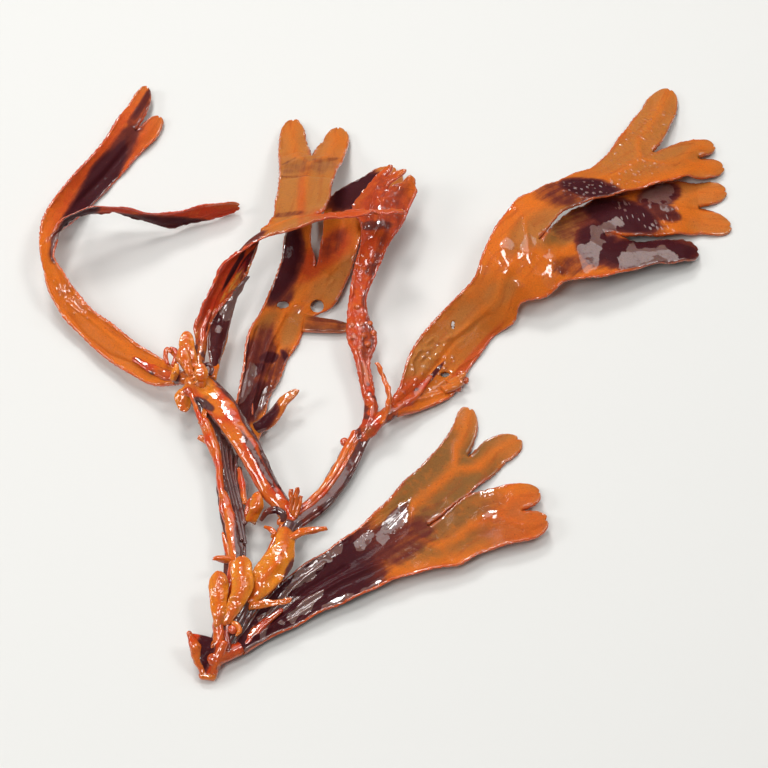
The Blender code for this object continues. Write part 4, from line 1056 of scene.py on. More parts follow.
def pimples(grid, spacing, radius):
    """Round bumps, one in each square cell at a jittered place: (1 - (d / radius)^2)^2 high."""
    u, v = grid[..., 0], grid[..., 1]
    height = np.zeros(u.shape)
    cell_u, cell_v = np.floor(u / spacing), np.floor(v / spacing)
    for i, j in np.ndindex(3, 3):
        near_u, near_v = cell_u + i - 1, cell_v + j - 1
        key = np.stack([near_u, near_v, near_u * 0 + BUMP_SEED], 0).astype(int) % NOISE_CELLS
        a, b, c = key
        jitter_u = 0.5 + BUMP_JITTER * NOISE_TABLE[a, b, c]
        jitter_v = 0.5 + BUMP_JITTER * NOISE_TABLE[b, c, a]
        size = radius * (BUMP_SHARE + BUMP_JITTER * NOISE_TABLE[c, a, b])
        away = np.hypot(u - (near_u + jitter_u) * spacing, v - (near_v + jitter_v) * spacing)
        height = np.maximum(height, np.clip(1 - (away / size) ** 2, 0, 1) ** 2)
    return height


class Shells:
    """Closed shells gathered into one mesh, with the values that its material reads."""

    NAMES = ("stain", "gold", "pale", "rim", "flush", "film")

    def __init__(self):
        self.points = []
        self.faces = []
        self.values = []
        self.grain = []
        self.count = 0

    def add(self, points, faces, values, grain):
        """values is a column for each of NAMES, and grain is mm across and along the piece."""
        self.points.append(points)
        self.faces += [face + self.count for face in faces]
        self.values.append(values)
        self.grain.append(grain)
        self.count += len(points)

    def make(self, name, finish):
        """The mesh object, in metres, in one material."""
        mesh = bpy.data.meshes.new(name)
        points = (np.concatenate(self.points) - PLAN_CENTRE) * MM
        corners = np.concatenate([face.ravel() for face in self.faces])
        sizes = np.concatenate([np.full(len(face), face.shape[1]) for face in self.faces])
        mesh.vertices.add(len(points))
        mesh.vertices.foreach_set("co", points.ravel())
        mesh.loops.add(len(corners))
        mesh.loops.foreach_set("vertex_index", corners)
        mesh.polygons.add(len(sizes))
        mesh.polygons.foreach_set("loop_start", np.cumsum(sizes) - sizes)
        mesh.polygons.foreach_set("use_smooth", np.ones(len(sizes), bool))
        mesh.update(calc_edges=True)
        values = np.concatenate(self.values)
        for i, label in enumerate(self.NAMES):
            layer = mesh.attributes.new(label, "FLOAT", "POINT")
            layer.data.foreach_set("value", np.clip(values[:, i], 0.0, 1.0).astype(np.float32))
        layer = mesh.attributes.new("grain", "FLOAT_VECTOR", "POINT")
        grain = np.concatenate(self.grain)
        layer.data.foreach_set("vector", np.column_stack([grain, grain[:, 0] * 0]).ravel())
        mesh.materials.append(finish)
        obj = bpy.data.objects.new(name, mesh)
        bpy.context.scene.collection.objects.link(obj)
        return obj


class Sheet:
    """The middle surface of a blade as its arms grow: grids of points joined at their ends."""

    def __init__(self):
        self.grids = []
        self.quads = []
        self.count = 0

    def add(self, grids, joined=None):
        """Adds rows of points with their normals, thickness, relief, marks and grain.

        joined is the ids of the row that they grow from.
        """
        rows, columns = grids[0].shape[:2]
        ids = self.count + np.arange(rows * columns).reshape(rows, columns)
        self.count += rows * columns
        self.grids.append([grid.reshape(rows * columns, -1) for grid in grids])
        if joined is not None:
            ids = np.vstack([joined, ids])
        a, b, c, d = ids[:-1, :-1], ids[:-1, 1:], ids[1:, 1:], ids[1:, :-1]
        self.quads.append(np.stack([a, b, c, d], -1).reshape(-1, 4))
        return ids

    def close_into(self, shells, holes=()):
        """Makes the sheet a closed shell: a raised top and a bottom that meet along the rim.

        A hole is an oval seen at (across, up), with its radii. Its quads go, and the points
        beside it are pulled onto its outline.
        """
        grids = [np.concatenate(grid) for grid in zip(*self.grids)]
        quads = np.concatenate(self.quads)
        points = grids[0]
        for across, up, half_width, half_height, height in holes:
            offset = (seen(points) - [across, up]) / [half_width, half_height]
            radius = np.linalg.norm(offset, axis=1)
            level = np.abs(points[:, 2] - height) < HOLE_REACH
            middle = points[np.where(level, radius, np.inf).argmin()].copy()
            quads = quads[~((radius < 1.0) & level)[quads].all(1)]
            pulled = level & (radius > HOLE_PULL) & (radius < 1.0)
            points[pulled] = middle + (points[pulled] - middle) / radius[pulled, None]
        used, quads = np.unique(quads, return_inverse=True)
        quads = quads.reshape(-1, 4)
        points, normals, thick, relief, marks, grain = (grid[used] for grid in grids)
        edges = np.sort(np.stack([quads, np.roll(quads, -1, 1)], -1).reshape(-1, 2), 1)
        keys, counts = np.unique(edges[:, 0] * len(points) + edges[:, 1], return_counts=True)
        single = keys[counts == 1]
        inner = np.ones(len(points), bool)
        inner[single // len(points)] = False
        inner[single % len(points)] = False
        top = points + normals * (thick / 2 + relief)
        low = points - normals * (thick / 2 - BACK_RELIEF * relief)
        low[:, 2] = np.maximum(low[:, 2], 0.0)
        top[inner, 2] = np.maximum(top[inner, 2], low[inner, 2] + THINNEST)
        top[~inner] = points[~inner]
        top[~inner, 2] = np.maximum(top[~inner, 2], LOWEST)
        below = np.arange(len(points))
        below[inner] = len(points) + np.arange(inner.sum())
        shells.add(
            np.vstack([top, low[inner]]),
            [quads, below[quads][:, ::-1]],
            np.vstack([marks, marks[inner]]),
            np.vstack([grain, grain[inner]]),
        )


def is_tip(ending):
    """Whether an arm ends in a tip's (across, up, height), not in two arms or in a cut."""
    return ending is not None and len(ending) == 3


def margins(arm, start):
    """An arm's distances s, their end, its margins L(s) and R(s), rise, width left and notch.

    They are smooth curves through the stations. A rounded tip goes on to its point as the width
    shrinks with the cosine of an angle.
    """
    rows, ending = arm
    rows = np.array(rows, float).reshape(-1, 7)
    left, right, rise = laid(rows[:, :3]), laid(rows[:, 3:6]), rows[:, 6:]
    if start:
        left = np.vstack([start["before"][0], start["left"], left])
        right = np.vstack([start["before"][1], start["right"], right])
        rise = np.vstack([start["before"][2], start["rise"], rise])
    middle = (left + right) / 2
    knots = np.append(0.0, np.cumsum(np.linalg.norm(np.diff(middle, axis=0), axis=1)))
    if start:
        knots = knots - knots[1]
    end = knots[-1]
    count = max(2, round(end / BLADE_PITCH)) + 1 if end > BLADE_PITCH else 1
    s = np.linspace(0.0, end, count)
    lefts, rights = smooth(knots, left, s), smooth(knots, right, s)
    rises = smooth(knots, rise, s)[:, 0]
    narrow = np.ones(len(s))
    notch = np.zeros(len(s))
    if is_tip(ending):
        centre, half = (lefts[-1] + rights[-1]) / 2, (rights[-1] - lefts[-1]) / 2
        reach = laid(ending) - centre
        count = max(FEWEST_TIP_ROWS, round(TIP_FINENESS * np.linalg.norm(reach) / BLADE_PITCH))
        angles = TIP_ANGLE * np.linspace(0.0, 1.0, count + 1)[1:]
        along = np.sin(angles) / math.sin(TIP_ANGLE)
        shrunk = np.cos(angles) ** TIP_BLUNTNESS
        lefts = np.vstack([lefts, centre + reach * along[:, None] - half * shrunk[:, None]])
        rights = np.vstack([rights, centre + reach * along[:, None] + half * shrunk[:, None]])
        rises = np.append(rises, rises[-1] * shrunk)
        s = np.append(s, end + along * np.linalg.norm(reach))
        narrow = np.append(narrow, shrunk)
        notch = np.append(notch, along**4)
    return s, end, lefts, rights, rises, narrow, notch


def grow(sheet, arm, columns, look, start=None):
    """Adds one arm of a blade to the sheet, then the arms that it forks into.

    The surface is L + (R - L)(w + 1) / 2 + N (rise (1 - w^2) + wave), for w from -1 to 1 between
    the margins. An arm starts from half of the row that it shares, and what differs there fades
    out over FORK_FADE.
    """
    ending = arm[1]
    length = start["length"] if start else 0.0
    s, end, lefts, rights, rises, narrow, notch = margins(arm, start)
    t = np.linspace(-1.0, 1.0, columns + 1)
    w = 0.5 * t + 0.5 * np.sin(t * math.pi / 2)
    heading = unit(np.gradient((lefts + rights) / 2, axis=0))
    if not start:
        slant = ((rights[0] - lefts[0]) @ heading[0]) * heading[0] / 2
        lefts[0] += slant
        rights[0] -= slant
    across = rights - lefts
    width = np.linalg.norm(across, axis=1)[:, None]
    normal = unit(np.cross(across, heading))
    along = (length + s)[:, None]
    root_fade = ease(along / FORK_FADE)
    phase = 2 * math.pi * along / look.wave_length + np.sign(w) * WAVE_LAG
    wave = look.wave_height * root_fade * np.abs(w) ** 3 * np.sin(phase)
    lift = rises[:, None] * (1 - w**2) + wave * np.sqrt(narrow)[:, None]
    grid = lefts[:, None] + across[:, None] * ((w + 1) / 2)[:, None]
    grid = grid + normal[:, None] * lift[..., None]
    run = along / look.tooth_pitch + TOOTH_LAG * np.sign(w)
    size = TOOTH_LEAST + TOOTH_VARIES * noise(grid, TOOTH_GRAIN, 3.1)
    saw = (run % 1.0) ** TOOTH_SHAPE * size
    tooth = look.tooth_depth * root_fade * saw * ease((np.abs(w) - TOOTH_FROM) / TOOTH_BAND)
    grid += unit(across)[:, None] * (tooth * np.sign(w) * narrow[:, None])[..., None]
    dip = look.tip_notch * notch[:, None] * np.exp(-((w / NOTCH_WIDTH) ** 2))
    grid -= heading[:, None] * (dip * min(1.0, width.max() / NOTCH_BLADE))[..., None]
    beside = w * width / 2
    split = 0.0
    if not is_tip(ending) and ending is not None:
        split = ease(1.0 - (end - s) / FORK_FADE)[:, None]
    ribs = [(beside - side * split * width / 4) / look.rib_width for side in (-1, 1)]
    rib = np.maximum(*(np.exp(-(away**2)) for away in ribs))
    root = np.clip(1.0 - along / ROOT_LENGTH, 0.0, 1.0)
    thick = look.edge_thick + (look.rib_thick - look.edge_thick) * rib
    thick = thick * (1 - root) + ROOT_THICK * (1 - ROOT_THINNING * w**2) * root
    thick = thick * np.sqrt(np.maximum(1 - np.abs(w) ** RIM_SHARPNESS, 0.0))
    thick = thick * (TIP_THICKNESS + (1 - TIP_THICKNESS) * narrow[:, None] ** 0.5)
    tip_near = np.exp((s - s[-1]) / look.tip_glow)[:, None] * is_tip(ending)
    if start:
        tip_near = tip_near * ease(s / s[-1])[:, None]
        fade = (1.0 - ease(s / FORK_FADE))[:, None]
        grid = grid + (start["points"] - grid[0]) * fade[..., None]
        thick = thick + (start["thick"] - thick[0]) * fade
        rib = rib + (start["rib"] - rib[0]) * fade
    normals = unit(np.cross(np.gradient(grid, axis=1), np.gradient(grid, axis=0)))
    view = seen(grid)
    along = along + 0 * w
    relief = look.relief(grid, view, beside, along, rib) * (1 - np.abs(w) ** 8)
    margin = (1 - np.abs(w)) * width / 2
    bead = np.exp(-(((margin - BEAD_PLACE) / BEAD_WIDTH) ** 2))
    bead = bead * (BEAD_SHARE + noise(grid, BEAD_SIZE, 3.3))
    relief = relief + look.margin_bead * bead * root_fade
    marks = np.stack(np.broadcast_arrays(*look.marks(grid, view, tip_near, rib, w, margin)), -1)
    grain = np.stack([beside, along], -1)
    grids = (grid, normals, thick, relief, marks, grain)
    if start:
        ids = sheet.add([part[1:] for part in grids], start["ids"])
    else:
        ids = sheet.add(grids)
    if is_tip(ending) or ending is None:
        return
    half = columns // 2
    back = max(-1 - round(BEFORE_FORK / BLADE_PITCH), -len(s))
    spine = (lefts + rights) / 2
    raised = spine[-1] + normal[-1] * rises[-1]
    raised_before = spine[back] + raised - spine[-1]
    for next_arm, edges, before, part in (
        (ending[0], (lefts[-1], raised), (lefts[back], raised_before), slice(None, half + 1)),
        (ending[1], (raised, rights[-1]), (raised_before, rights[back]), slice(half, None)),
    ):
        shared = {
            "ids": ids[-1, part],
            "points": grid[-1, part],
            "thick": thick[-1, part],
            "rib": rib[-1, part],
            "left": edges[0],
            "right": edges[1],
            "rise": [rises[-1] * FORK_RISE],
            "before": (*before, [rises[back] * FORK_RISE]),
            "length": length + end,
        }
        grow(sheet, next_arm, half, look, shared)


class Look:
    """How one blade is finished: its sizes in mm, its relief and where its colours lie."""

    def __init__(self, sizes, drawn, **changed):
        for label in BladeSizes.__annotations__:
            setattr(self, label, changed.get(label, getattr(sizes, label)))
        self.drawn = drawn

    def patches(self, grid, view):
        """Each rough patch: how strong it is at each place, its bumps and their height."""
        for *oval, spacing, radius, rise in self.drawn.get("roughs", ()):
            yield blot(view, *oval), pimples(grid, spacing, radius), rise

    def relief(self, grid, view, beside, along, rib):
        """Ridge along the ribs + crumpling noise + folds near the root + creases + bumps.

        The folds are noise on the blade's own surface, FOLD_SHAPE times longer than it is wide.
        """
        crumple, grain = self.drawn["crumple"]
        calm = CALM_SHARE + (1 - CALM_SHARE) * np.exp(-along / CALM_REACH)
        height = RIB_RISE * rib + crumple * calm * rough_noise(grid, grain)
        depth, reach = self.drawn["furrows"]
        own = np.stack([beside, along / FOLD_SHAPE, along * 0.0], -1)
        own = own + FOLD_WANDER * noise(grid, FOLD_BEND)[..., None]
        fold = rough_noise(own, FOLD_WIDTH, 9.3)
        height = height + depth * fold * np.exp(-along / reach)
        for line, half_width, rise in self.drawn.get("creases", ()):
            height = height + rise * np.exp(-((line_distance(view, line) / half_width) ** 2))
        for patch, bumps, rise in self.patches(grid, view):
            height = height + rise * patch * bumps
        return height

    def marks(self, grid, view, tip_near, rib, w, margin):
        """Stain and painted shade, gold, pale, rim, flush and film, each from 0 to 1."""
        stain, gold, pale, flush = (
            oval_marks(view, self.drawn.get(label, ()))
            for label in ("stains", "golds", "pales", "flushes")
        )
        stain = stain * (1 - RIM_CLEAR * ease((np.abs(w) - CLEAR_FROM) / CLEAR_FADE))
        gold = np.maximum(gold, tip_near) * (1 - RIB_GOLD * rib)
        pale = pale * (1 - RIB_PALE * rib)
        rim = ease((np.abs(w) - RIM_FROM) / RIM_BAND)
        film = oval_marks(view, self.drawn.get("films", ()), FILM_GRAIN, FILM_RAGGED)
        film = np.maximum(film, RIM_FILM * ease((RIM_WET - margin) / RIM_WET_FADE))
        for patch, bumps, _ in self.patches(grid, view):
            film = np.maximum(film, patch * ease(bumps / BUMP_WET))
        return stain, gold, pale, rim, flush, film


def line_through(stations, pitch):
    """A smooth line through stations: its distances, centres, half sizes, side and over.

    It runs on at both ends by the smaller half size, so that its round ends are sunk in what
    they join.
    """
    stations = np.asarray(stations, float)
    known = np.hstack([laid(stations[:, :3]), stations[:, 3:]])
    before, after = known[0].copy(), known[-1].copy()
    before[:3] -= unit(known[1, :3] - known[0, :3]) * before[3:].min()
    after[:3] += unit(known[-1, :3] - known[-2, :3]) * after[3:].min()
    known = np.vstack([before, known, after])
    steps = np.linalg.norm(np.diff(known[:, :3], axis=0), axis=1)
    knots = np.append(0.0, np.cumsum(steps))
    s = np.linspace(0.0, knots[-1], max(4, round(knots[-1] / pitch)) + 1)
    line = smooth(knots, known, s)
    heading = unit(np.gradient(line[:, :3], axis=0))
    side = unit(np.cross(heading, [0.0, 0.0, 1.0]))
    return s, line[:, :3], line[:, 3:], side, np.cross(side, heading)


def ring_faces(rows, sides):
    """Quads between rings of points, and the fans that close both ends on two last points."""
    ids = np.arange(rows * sides).reshape(rows, sides)
    after = np.roll(ids, -1, 1)
    quads = np.stack([ids[:-1], ids[1:], after[1:], after[:-1]], -1).reshape(-1, 4)
    first = np.stack([np.full(sides, ids.size), ids[0], after[0]], -1)
    last = np.stack([np.full(sides, ids.size + 1), after[-1], ids[-1]], -1)
    return quads, first, last


def tube(shells, line, sides, depth, ridges, shade, bead=0.0):
    """A closed tube: rings C + a cos(t) side + b sin(t) over, with ridges, noise and round ends.

    The ring's radius is multiplied by 1 + depth (0.5 cos(ridges t) + noise) + bead (finer noise),
    and shrinks with a quarter circle at each end. shade gives the material's values from the turn
    and the place.
    """
    s, centres, sizes, side, over = line
    turn = np.linspace(0.0, 2 * math.pi, sides, endpoint=False)
    cap = np.minimum(sizes.min(1), (s[-1] - s[0]) / 3)
    from_end = np.minimum(s - s[0], s[-1] - s) / cap
    taper = np.sqrt(1 - (1 - np.clip(from_end, END_SHARE, 1.0)) ** 2)[:, None]
    ring = (
        centres[:, None]
        + side[:, None] * (sizes[:, :1] * taper * np.cos(turn))[..., None]
        + over[:, None] * (sizes[:, 1:] * taper * np.sin(turn))[..., None]
    )
    wave = RIDGE_SHARE * np.cos(ridges * turn + s[:, None] / RIDGE_TWIST)
    wave = wave + STEM_ROUGHNESS * rough_noise(ring, STEM_GRAIN)
    wave = 1 + depth * wave + bead * noise(ring, BEAD_SIZE, 6.1)
    ring = centres[:, None] + (ring - centres[:, None]) * wave[..., None]
    ring[..., 2] = np.maximum(ring[..., 2], 0.0)
    points = np.vstack([ring.reshape(-1, 3), ring[0].mean(0), ring[-1].mean(0)])
    shape = (len(s), sides)
    marks = shade(np.broadcast_to(turn, shape), ring)
    marks = np.column_stack([np.broadcast_to(mark, shape).ravel() for mark in marks])
    grain = np.stack(np.broadcast_arrays(sizes.mean() * turn, s[:, None]), -1).reshape(-1, 2)
    ends = [0, -1]
    shells.add(
        points,
        ring_faces(*shape),
        np.vstack([marks, marks[ends]]),
        np.vstack([grain, grain[ends]]),
    )


def stem_marks(ring):
    """How dark (from stains and painted shade), how golden and how wet the stems are at each
    place.
    """
    view = seen(ring)
    film = WET_STEM + WET_STEM_VARIES * noise(ring, WET_STEM_GRAIN, 3.7)
    return oval_marks(view, STEM_LOOK["stains"]), oval_marks(view, STEM_LOOK["golds"]), film


def plain_shade(stain, gold=0.0):
    """A shade for a tube with the same values all over, broken up by soft noise."""

    def shade(turn, ring):
        patch = rough_noise(ring, PATCH_SIZE, 1.9)
        spots = ease((rough_noise(ring, SPOT_SIZE, 5.7) - SPOT_FROM) / SPOT_FADE)
        dark, light, film = stem_marks(ring)
        dark = np.maximum(stain + STAIN_VARIES * stain * patch + SPOT_STAIN * spots, dark)
        return dark, np.maximum(gold + GOLD_VARIES * patch, light), 0.0, 0.0, 0.0, film

    return shade


def flank_shade(turn, ring):
    """Orange over most of the tube and painted maroon shade down the flank away from the light."""
    ragged = FLANK_RAGGED * noise(ring, FLANK_GRAIN, 4.2)
    flank = ease((np.cos(turn) - FLANK_FROM + ragged) / FLANK_FADE)
    patch = rough_noise(ring, FLECK_SIZE, 8.4)
    dark, light, film = stem_marks(ring)
    flecks = ease((patch - FLECK_FROM) / FLECK_FADE)
    dark = np.maximum(FLANK_PAINTED_SHADE * flank + FLECK_STAIN * flecks, dark)
    light = np.maximum(FLANK_GOLD - FLANK_GOLD_VARIES * patch, light)
    return dark, light, 0.0, 0.0, 0.0, film


def strands(shells, stations, placed):
    """Strands side by side along a stem, each a thin tube that wanders a little."""
    s, centres, sizes, side, over = line_through(stations, STEM_PITCH)
    for i, (beside, above, radius, stain) in enumerate(placed):
        walk = noise(np.stack([s, s * 0 + STRAND_SEED * i, s * 0], -1), STRAND_BEND)
        shift = beside * sizes[:, :1] + STRAND_WANDER * walk[:, None]
        middle = centres + side * shift + over * (above * sizes[:, 1:])
        swell = radius * (1 + STRAND_SWELL * noise(middle, STRAND_BULGE, i))
        line = s, middle, np.stack([swell, swell], -1), side, over
        shade = plain_shade(stain, PLAIN_GOLD * (stain < PLAIN_STRAND))
        tube(shells, line, STRAND_SIDES, STRAND_DEPTH, STRAND_RIDGES, shade, FINE_BEAD)


def curls(shells, drawn, pitch, sides):
    """Thin tubes through stations, each with its own stain, gold and beads."""
    for stations, stain, gold, bead in drawn:
        line = line_through(stations, pitch)
        tube(shells, line, sides, CURL_DEPTH, CURL_RIDGES, plain_shade(stain, gold), bead)


def branch_stations(name, stations):
    """A branch's stations, run on through its frond's root so that it thins into the midrib."""
    rows = FRONDS[name][0][:3]
    joined = [list(station) for station in stations]
    for row, width, depth in zip(rows, ROOT_WIDTHS, ROOT_DEPTHS):
        middle = [(row[i] + row[i + 3]) / 2 for i in range(3)]
        joined.append([*middle, width * stations[-1][3], depth * stations[-1][4]])
    return joined


def knob(shells, across, up, height, radius):
    """A round knob: r (cos a cos b, cos a sin b, 0.8 sin a), its radius varied by noise."""
    lift = np.linspace(-math.pi / 2, math.pi / 2, KNOB_ROWS + 2)[1:-1, None]
    turn = np.linspace(0.0, 2 * math.pi, KNOB_SIDES, endpoint=False)
    ball = np.cos(lift) * np.cos(turn), np.cos(lift) * np.sin(turn), KNOB_FLATNESS * np.sin(lift)
    ball = np.stack(np.broadcast_arrays(*ball), -1).reshape(-1, 3)
    ball = np.vstack([ball, [0.0, 0.0, -KNOB_FLATNESS], [0.0, 0.0, KNOB_FLATNESS]]) * radius
    middle = laid((across, up, height))
    ball = middle + ball * (1 + KNOB_ROUGHNESS * rough_noise(ball + middle, KNOB_GRAIN))[:, None]
    faces = [np.roll(face[:, ::-1], 1, 1) for face in ring_faces(KNOB_ROWS, KNOB_SIDES)]
    shells.add(ball, faces, np.tile(KNOB_MARKS, (len(ball), 1)), ball[:, :2])


def add_node(tree, kind, inputs=None, **settings):
    """Adds a node, sets it, and gives its inputs values or links from other nodes' outputs."""
    node = tree.nodes.new(kind)
    for label, value in settings.items():
        setattr(node, label, value)
    for label, value in (inputs or {}).items():
        if isinstance(value, bpy.types.NodeSocket):
            tree.links.new(value, node.inputs[label])
        else:
            node.inputs[label].default_value = value
    return node


def start_material(name):
    made = bpy.data.materials.new(name)
    made.use_nodes = True
    return made, made.node_tree, made.node_tree.nodes["Principled BSDF"]


# The sums that the seaweed's material is made of: the node, its inputs, its settings, its output.
SUMS = {
    "noise": ("TexNoise", ("Vector", "Scale", "Detail", "Roughness"), {}, "Fac"),
    "cells": ("TexVoronoi", ("Vector", "Scale", "Randomness"), {}, "Distance"),
    "stretch": ("Mapping", ("Vector", "Scale"), {}, "Vector"),
    "share": (
        "MapRange",
        ("Value", "From Min", "From Max", "To Min", "To Max"),
        {"interpolation_type": "SMOOTHSTEP"},
        "Result",
    ),
    "plus": ("Math", (0, 1), {"operation": "ADD"}, "Value"),
    "times": ("Math", (0, 1), {"operation": "MULTIPLY"}, "Value"),
    "paint": ("Mix", ("A", "B", "Factor"), {"data_type": "RGBA"}, "Result"),
    "tone": ("HueSaturation", ("Color", "Value"), {}, "Color"),
    "bump": ("Bump", ("Height", "Strength", "Distance"), {}, "Normal"),
}


def wet_thallus(name, colours, ground, tip, ripple, glaze_share):
    """Leathery brown seaweed under a film of water.

    The tissue is a translucent gel, golden where it is thin and maroon where it is thick, and
    maroon too where shade is painted. Water stands in patches on it, which reflect sharply, and
    elsewhere it is only damp. Where it stands on dark tissue, a pale reflection of the sky is
    painted into the colour.
    """
    made, tree, shader = start_material(name)
    found = {"place": add_node(tree, "ShaderNodeTexCoord").outputs["Object"]}
    for label in Shells.NAMES:
        found[label] = add_node(tree, "ShaderNodeAttribute", attribute_name=label).outputs["Fac"]
    along = add_node(tree, "ShaderNodeAttribute", attribute_name="grain")
    found["grain"] = along.outputs["Vector"]
    tan, red, flush, rim, brown, maroon, glaze = (
        (*getattr(colours, label), 1.0)
        for label in ("tan", "red", "flush", "rim", "brown", "maroon", "glaze")
    )
    for label, sum_name, *values in (
        ("stretched", "stretch", "grain", (1 / STREAK_WIDTH, 1 / STREAK_LENGTH, 1.0)),
        ("streak", "noise", "stretched", 1.0, 3.0, 0.5),
        ("mottle", "noise", "place", 1 / (MOTTLE_SIZE * MM), 4.0, 0.6),
        ("speck", "noise", "place", 1 / (CELL_SIZE * MM), 3.0, 0.7),
        ("pit", "cells", "place", 1 / (PIT_SPACING * MM), 0.9),
        ("drop", "cells", "place", 1 / (DROP_SPACING * MM), 1.0),
        # Colour: tan where it is thin, golden tips, red streaks and rims, dark stains and painted
        # shade, small pits, and a painted pale reflection where water stands on dark tissue
        ("patchy", "share", "mottle", 0.2, 0.55, 0.45, 1.0),
        ("pale patch", "times", "pale", "patchy"),
        ("red streak", "share", "streak", 0.5, 0.8, 0.0, 0.45),
        ("flushed", "times", "flush", "patchy"),
        ("red rim", "times", "rim", 0.6),
        ("blotch", "share", "mottle", 0.25, 0.75, -0.06, 0.06),
        ("line", "share", "streak", 0.3, 0.7, -0.07, 0.07),
        ("inside", "share", "stain", 0.0, 0.15, 0.0, 1.0),
        ("blotchy", "plus", "stain", "blotch"),
        ("lined", "plus", "blotchy", "line"),
        ("ragged", "times", "lined", "inside"),
        ("brown part", "share", "ragged", 0.05, 0.5, 0.0, 1.0),
        ("maroon part", "share", "ragged", 0.35, 0.85, 0.0, 0.97),
        ("pitted", "share", "pit", 0.16, 0.06, 0.0, 0.4),
        ("light and dark", "share", "speck", 0.3, 0.7, 0.88, 1.1),
        ("thin tissue", "paint", (*ground, 1.0), tan, "pale patch"),
        ("young tissue", "paint", "thin tissue", (*tip, 1.0), "gold"),
        ("flushed tissue", "paint", "young tissue", flush, "flushed"),
        ("streaked tissue", "paint", "flushed tissue", red, "red streak"),
        ("rimmed tissue", "paint", "streaked tissue", rim, "red rim"),
        ("browned tissue", "paint", "rimmed tissue", brown, "brown part"),
        ("stained tissue", "paint", "browned tissue", maroon, "maroon part"),
        ("pitted tissue", "paint", "stained tissue", brown, "pitted"),
        ("wet edge", "share", "mottle", 0.3, 0.7, -0.18, 0.18),
        ("wetness", "plus", "film", "wet edge"),
        ("film of water", "share", "wetness", 0.4, 0.55, FILM_EVERYWHERE, 1.0),
        # A painted reflection: the pale sky seen in the water that stands on dark tissue.
        ("dark water", "times", "film of water", "maroon part"),
        ("bright water", "times", "dark water", glaze_share),
        ("glazed tissue", "paint", "pitted tissue", glaze, "bright water"),
        ("tissue", "tone", "glazed tissue", "light and dark"),
        # Surface: soft bumps of the tissue, and the water's own ripple and droplets over them
        ("dull", "share", "speck", 0.3, 0.75, 0.5, 0.75),
        ("pit depth", "share", "pit", 0.2, 0.06, 0.0, -0.25),
        ("soft bumps", "times", "mottle", 0.6),
        ("fine bumps", "times", "speck", 0.4),
        ("bumps", "plus", "soft bumps", "fine bumps"),
        ("skin height", "plus", "bumps", "pit depth"),
        ("skin", "bump", "skin height", 0.7, SKIN_BUMP * MM),
        ("swell", "noise", "place", 1 / (ripple * MM), 2.0, 0.5),
        ("droplet", "share", "drop", 0.3, 0.1, 0.0, 0.5),
        ("water height", "plus", "swell", "droplet"),
        ("water", "bump", "water height", 0.5, RIPPLE_SHARE * ripple * MM),
    ):
        kind, sockets, settings, output = SUMS[sum_name]
        values = [found[value] if isinstance(value, str) else value for value in values]
        node = add_node(tree, "ShaderNode" + kind, dict(zip(sockets, values)), **settings)
        found[label] = node.outputs[output]
    for label, source in (
        ("Base Color", "tissue"),
        ("Roughness", "dull"),
        ("Normal", "skin"),
        ("Coat Weight", "film of water"),
        ("Coat Normal", "water"),
    ):
        tree.links.new(found[source], shader.inputs[label])
    for label, value in (
        ("IOR", 1.42),
        ("Specular IOR Level", 0.1),
        ("Coat Roughness", 0.04),
        ("Coat IOR", 1.8),
        ("Subsurface Weight", 0.3),
        ("Subsurface Radius", (1.0, 0.3, 0.08)),
        ("Subsurface Scale", 2.0 * MM),
    ):
        shader.inputs[label].default_value = value
    return made


def matte_paper(name, colour):
    """A matte painted board: even and pale, with a faint tooth that keeps it from looking flat."""
    made, tree, shader = start_material(name)
    place = add_node(tree, "ShaderNodeTexCoord").outputs["Object"]
    fine = {"Vector": place, "Scale": 1 / (PAPER_GRAIN * MM), "Detail": 3.0}
    tooth = add_node(tree, "ShaderNodeTexNoise", fine).outputs["Fac"]
    bump = {"Height": tooth, "Strength": 0.1, "Distance": PAPER_TOOTH * MM}
    bump = add_node(tree, "ShaderNodeBump", bump)
    tree.links.new(bump.outputs["Normal"], shader.inputs["Normal"])
    shader.inputs["Base Color"].default_value = (*colour, 1.0)
    shader.inputs["Roughness"].default_value = 0.85
    return made


def size_property(name, description, default, low, high):
    return FloatProperty(
        name=name, description=description + ", in mm", default=default, min=low, max=high
    )


def power_property(name, where, default):
    return FloatProperty(
        name=name, description="Power of the " + where, default=default, min=0.0, unit="POWER"
    )


def colour_property(name, description, code):
    return FloatVectorProperty(
        name=name,
        description=description,
        subtype="COLOR",
        size=3,
        min=0.0,
        max=1.0,
        default=linear(code),
    )


class BladeSizes(PropertyGroup):
    """Sizes of the blades, in mm."""

    edge_thick: size_property("Margin", "Thickness of a blade near its margin", 0.7, 0.2, 2.0)
    rib_thick: size_property("Midrib", "Thickness of a blade along its midrib", 1.3, 0.5, 4.0)
    rib_width: size_property("Midrib width", "Half the width of the midrib", 2.0, 0.5, 4.0)
    wave_length: size_property("Wave length", "Length of a wave of the margin", 13.0, 3.0, 50.0)
    wave_height: size_property("Wave height", "Height of the margin's waves", 0.4, 0.0, 3.0)
    tooth_pitch: size_property("Tooth pitch", "Distance between the margin's teeth", 2.6, 1.0, 9.0)
    tooth_depth: size_property("Tooth depth", "How far a tooth stands out", 0.4, 0.0, 2.0)
    tip_notch: size_property("Tip notch", "Depth of the notch in a tip", 0.7, 0.0, 3.0)
    tip_glow: size_property("Tip glow", "How far the golden tips reach", 9.0, 1.0, 40.0)
    margin_bead: size_property("Margin bead", "Height of the beaded margin", 0.34, 0.0, 1.0)


